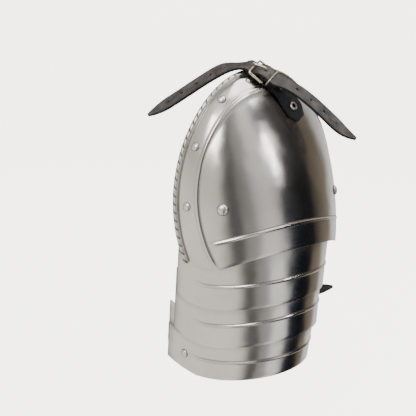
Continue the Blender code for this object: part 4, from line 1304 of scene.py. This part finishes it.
# Stations along each strip, in mm: place, facing and half width
SHOULDER_STRAP: tuple[Station, ...] = (
    (-66.54, -95.55, -51.25, 0.0457, -0.6818, 0.7301, 1.75),
    (-62.6, -90.86, -47.12, 0.0449, -0.6841, 0.728, 5.35),
    (-58.53, -86.0, -42.77, 0.0425, -0.6912, 0.7214, 8.13),
    (-54.09, -80.72, -37.9, 0.0399, -0.6991, 0.7139, 9.75),
    (-49.37, -75.09, -32.6, 0.0379, -0.7058, 0.7074, 9.75),
    (-44.3, -69.04, -26.78, 0.0366, -0.7103, 0.7029, 9.75),
    (-39.08, -62.82, -20.74, 0.0357, -0.7137, 0.6996, 9.75),
    (-33.93, -56.68, -14.7, 0.0366, -0.7103, 0.7029, 9.75),
    (-28.78, -50.55, -8.87, 0.0409, -0.696, 0.7169, 9.75),
    (-23.56, -44.33, -3.29, 0.0647, -0.6684, 0.741, 9.75),
    (-18.48, -38.28, 1.3, 0.0947, -0.5726, 0.8143, 9.75),
    (-13.65, -32.51, 3.86, 0.0756, -0.3954, 0.9154, 9.75),
    (-9.33, -27.37, 5.25, 0.0553, -0.2618, 0.9635, 9.75),
    (-5.85, -23.25, 5.93, 0.1231, -0.2089, 0.9702, 9.75),
    (-3.16, -20.01, 6.05, 0.2377, -0.2018, 0.9501, 9.75),
    (-1.44, -17.76, 5.99, 0.425, -0.212, 0.88, 9.75),
    (-0.21, -16.16, 5.56, 0.6663, -0.07, 0.7424, 9.75),
    (0.64, -15.08, 4.38, 0.7044, -0.0367, 0.7088, 9.75),
    (2.12, -14.06, 3.35, 0.2562, -0.3067, 0.9167, 9.75),
    (5.9, -12.55, 3.75, 0.0862, -0.3975, 0.9135, 9.75),
    (10.2, -10.74, 4.03, 0.2801, -0.3079, 0.9092, 9.75),
    (13.69, -8.53, 2.71, 0.528, -0.16, 0.834, 9.75),
    (16.67, -6.27, 0.79, 0.6562, -0.0608, 0.7521, 9.75),
    (18.54, -4.72, -1.21, 0.7258, -0.0031, 0.6879, 9.75),
    (20.65, -2.47, -3.39, 0.6486, -0.0866, 0.7562, 9.75),
    (24.54, 2.1, -5.58, 0.5699, -0.0931, 0.8164, 9.75),
    (29.14, 7.64, -8.16, 0.5515, -0.016, 0.834, 9.75),
    (33.84, 13.24, -11.51, 0.5919, 0.025, 0.8056, 9.75),
    (38.75, 19.1, -15.58, 0.6397, 0.0492, 0.767, 9.75),
    (43.81, 25.12, -20.58, 0.6769, 0.072, 0.7326, 9.75),
    (48.94, 31.23, -26.18, 0.7021, 0.0854, 0.7069, 9.75),
    (54.06, 37.34, -32.24, 0.717, 0.0925, 0.6909, 9.75),
    (59.12, 43.37, -38.37, 0.7191, 0.0934, 0.6886, 9.75),
    (64.03, 49.22, -44.27, 0.7072, 0.0879, 0.7015, 9.75),
    (68.73, 54.83, -49.5, 0.6633, 0.0641, 0.7456, 8.07),
    (73.05, 59.97, -53.21, 0.6096, 0.0283, 0.7922, 5.29),
    (77.22, 64.94, -56.39, 0.5937, 0.0165, 0.8045, 1.75),
)
STRAP_HOLES: tuple[tuple[float, ...], ...] = (
    (12.93, -8.86, 2.68, 0.6994, -0.0255, 0.7143, 1.6),
    (-52.8, -79.17, -36.45, 0.0394, -0.7009, 0.7121, 1.8),
    (62.96, 47.94, -42.98, 0.7098, 0.0891, 0.6987, 1.8),
    (-43.72, -68.36, -26.11, 0.0365, -0.7107, 0.7026, 1.8),
    (54.07, 37.35, -32.25, 0.717, 0.0925, 0.6909, 1.8),
    (-34.72, -57.62, -15.62, 0.0365, -0.7108, 0.7024, 1.8),
    (45.01, 26.55, -21.89, 0.6829, 0.0752, 0.7267, 1.8),
    (-25.57, -46.72, -5.44, 0.0555, -0.6792, 0.7319, 1.8),
    (35.4, 15.11, -12.81, 0.6074, 0.0327, 0.7937, 1.8),
)
BUCKLE_TAB: tuple[Station, ...] = (
    (36.68, 24.48, -41.18, 0.8374, 0.1414, 0.528, 7.0),
    (34.59, 21.97, -37.18, 0.8356, 0.1303, 0.5336, 10.25),
    (32.49, 19.46, -33.38, 0.8292, 0.1149, 0.547, 13.5),
    (30.55, 17.14, -30.05, 0.8191, 0.0967, 0.5654, 13.5),
    (26.74, 12.55, -23.87, 0.8335, 0.107, 0.542, 12.44),
    (23.69, 8.0, -17.69, 0.8231, 0.0916, 0.5604, 10.56),
    (20.47, 4.04, -13.27, 0.7732, 0.0308, 0.6335, 9.75),
    (17.48, 0.5, -9.75, 0.7446, 0.0027, 0.6676, 9.75),
    (14.49, -3.04, -6.57, 0.7057, -0.0312, 0.7078, 9.75),
    (11.71, -6.09, -4.28, 0.7067, -0.0174, 0.7073, 9.75),
    (11.23, -6.72, -3.4, 0.9092, 0.2522, 0.3311, 9.75),
    (11.3, -7.21, -2.32, 0.8755, 0.4624, -0.1407, 9.75),
    (11.92, -7.41, -1.32, 0.6071, 0.5486, -0.5749, 9.75),
    (12.91, -7.27, -0.67, 0.176, 0.4879, -0.855, 9.75),
    (14.01, -6.83, -0.56, -0.3022, 0.2964, -0.906, 9.75),
    (14.93, -6.2, -1.0, -0.6653, 0.0553, -0.7445, 9.75),
    (17.66, -3.73, -3.58, -0.7994, -0.1033, -0.5919, 9.75),
    (19.75, 1.13, -8.79, -0.8236, -0.1169, -0.5549, 9.75),
    (22.36, 4.43, -12.29, -0.7885, -0.0495, -0.6131, 9.75),
    (24.42, 7.07, -15.28, -0.7974, -0.059, -0.6005, 9.75),
)
ARM_STRAP: tuple[Station, ...] = (
    (20.25, -77.78, -304.29, -0.2598, 0.9657, 0.0027, 8.25),
    (9.65, -80.63, -304.3, -0.2231, 0.9748, 0.0015, 8.25),
    (-0.12, -82.44, -304.3, -0.1458, 0.9893, 0.0007, 8.25),
    (-10.06, -83.53, -304.3, -0.0729, 0.9973, 0.0002, 8.25),
    (-20.1, -83.9, -304.3, 0.2271, 0.9739, 0.0, 8.25),
    (-33.4, -78.09, -304.3, 0.4974, 0.8675, 0.0, 8.25),
    (-45.18, -69.52, -304.3, 0.7839, 0.6209, 0.0, 8.25),
    (-53.21, -53.09, -304.3, 0.9427, 0.3337, 0.0, 8.25),
    (-58.1, -33.02, -304.3, 0.9891, 0.1473, 0.0, 8.25),
    (-59.38, -11.62, -304.3, 1.0, 0.0, 0.0, 8.25),
    (-58.1, 10.43, -304.3, 0.9954, -0.0961, 0.0, 8.25),
    (-55.17, 32.01, -304.3, 0.9838, -0.1793, 0.0, 8.25),
    (-50.5, 52.14, -304.3, 0.9562, -0.2926, 0.0001, 8.25),
    (-43.88, 68.92, -304.67, 0.9161, -0.4009, 0.0, 8.25),
    (-36.6, 83.9, -304.3, 0.9031, -0.4294, -0.0018, 8.25),
    (-30.13, 97.83, -301.71, 0.9053, -0.4248, 0.0003, 8.25),
    (-23.79, 111.2, -298.38, 0.9045, -0.4264, -0.0004, 8.25),
    (-17.27, 125.09, -295.37, 0.9053, -0.4248, 0.0002, 8.25),
    (-10.98, 138.5, -292.47, 0.9053, -0.4248, -0.0, 8.25),
    (-5.38, 150.44, -289.88, 0.9053, -0.4248, 0.0, 6.33),
    (0.0, 161.9, -287.4, 0.9053, -0.4248, -0.0, 1.75),
)
ARM_BUCKLE_STRIP: tuple[Station, ...] = (
    (20.25, 77.78, -304.29, -0.2598, -0.9657, 0.0027, 8.25),
    (9.65, 80.63, -304.3, -0.2231, -0.9748, 0.0015, 8.25),
    (-0.12, 82.44, -304.3, -0.1458, -0.9893, 0.0007, 8.25),
    (-10.06, 83.53, -304.3, -0.0729, -0.9973, 0.0002, 8.25),
    (-20.1, 83.9, -304.3, -0.1438, -0.9896, -0.0, 8.25),
    (-29.1, 86.3, -304.3, -0.1997, -0.9799, -0.0, 8.25),
    (-30.3, 85.98, -304.3, 0.5, -0.866, -0.0, 8.25),
    (-31.18, 85.1, -304.3, 0.866, -0.5, -0.0, 8.25),
    (-31.5, 83.9, -304.3, 1.0, 0.0, -0.0, 8.25),
    (-31.18, 82.7, -304.3, 0.866, 0.5, 0.0, 8.25),
    (-30.3, 81.82, -304.3, 0.5, 0.866, 0.0, 8.25),
    (-29.1, 81.5, -304.3, 0.0404, 0.9992, 0.0, 8.25),
    (-22.35, 81.5, -304.3, -0.0, 1.0, 0.0, 8.25),
)


def main() -> None:
    """Build every part of the piece and the studio."""
    logging.basicConfig(level=logging.INFO, format="%(name)s %(message)s")
    finishes = Finishes()
    bead = Bead()
    cop = CopShell(finishes, bead)
    cop.build()
    LameStack(finishes, bead, cop).build()
    RivetWork(finishes).build()
    StrapWork(finishes).build()
    BuckleWork(finishes).build()
    CarriedOver(finishes).build()
    Studio().build()
    deselect()


if __name__ == "__main__":
    main()
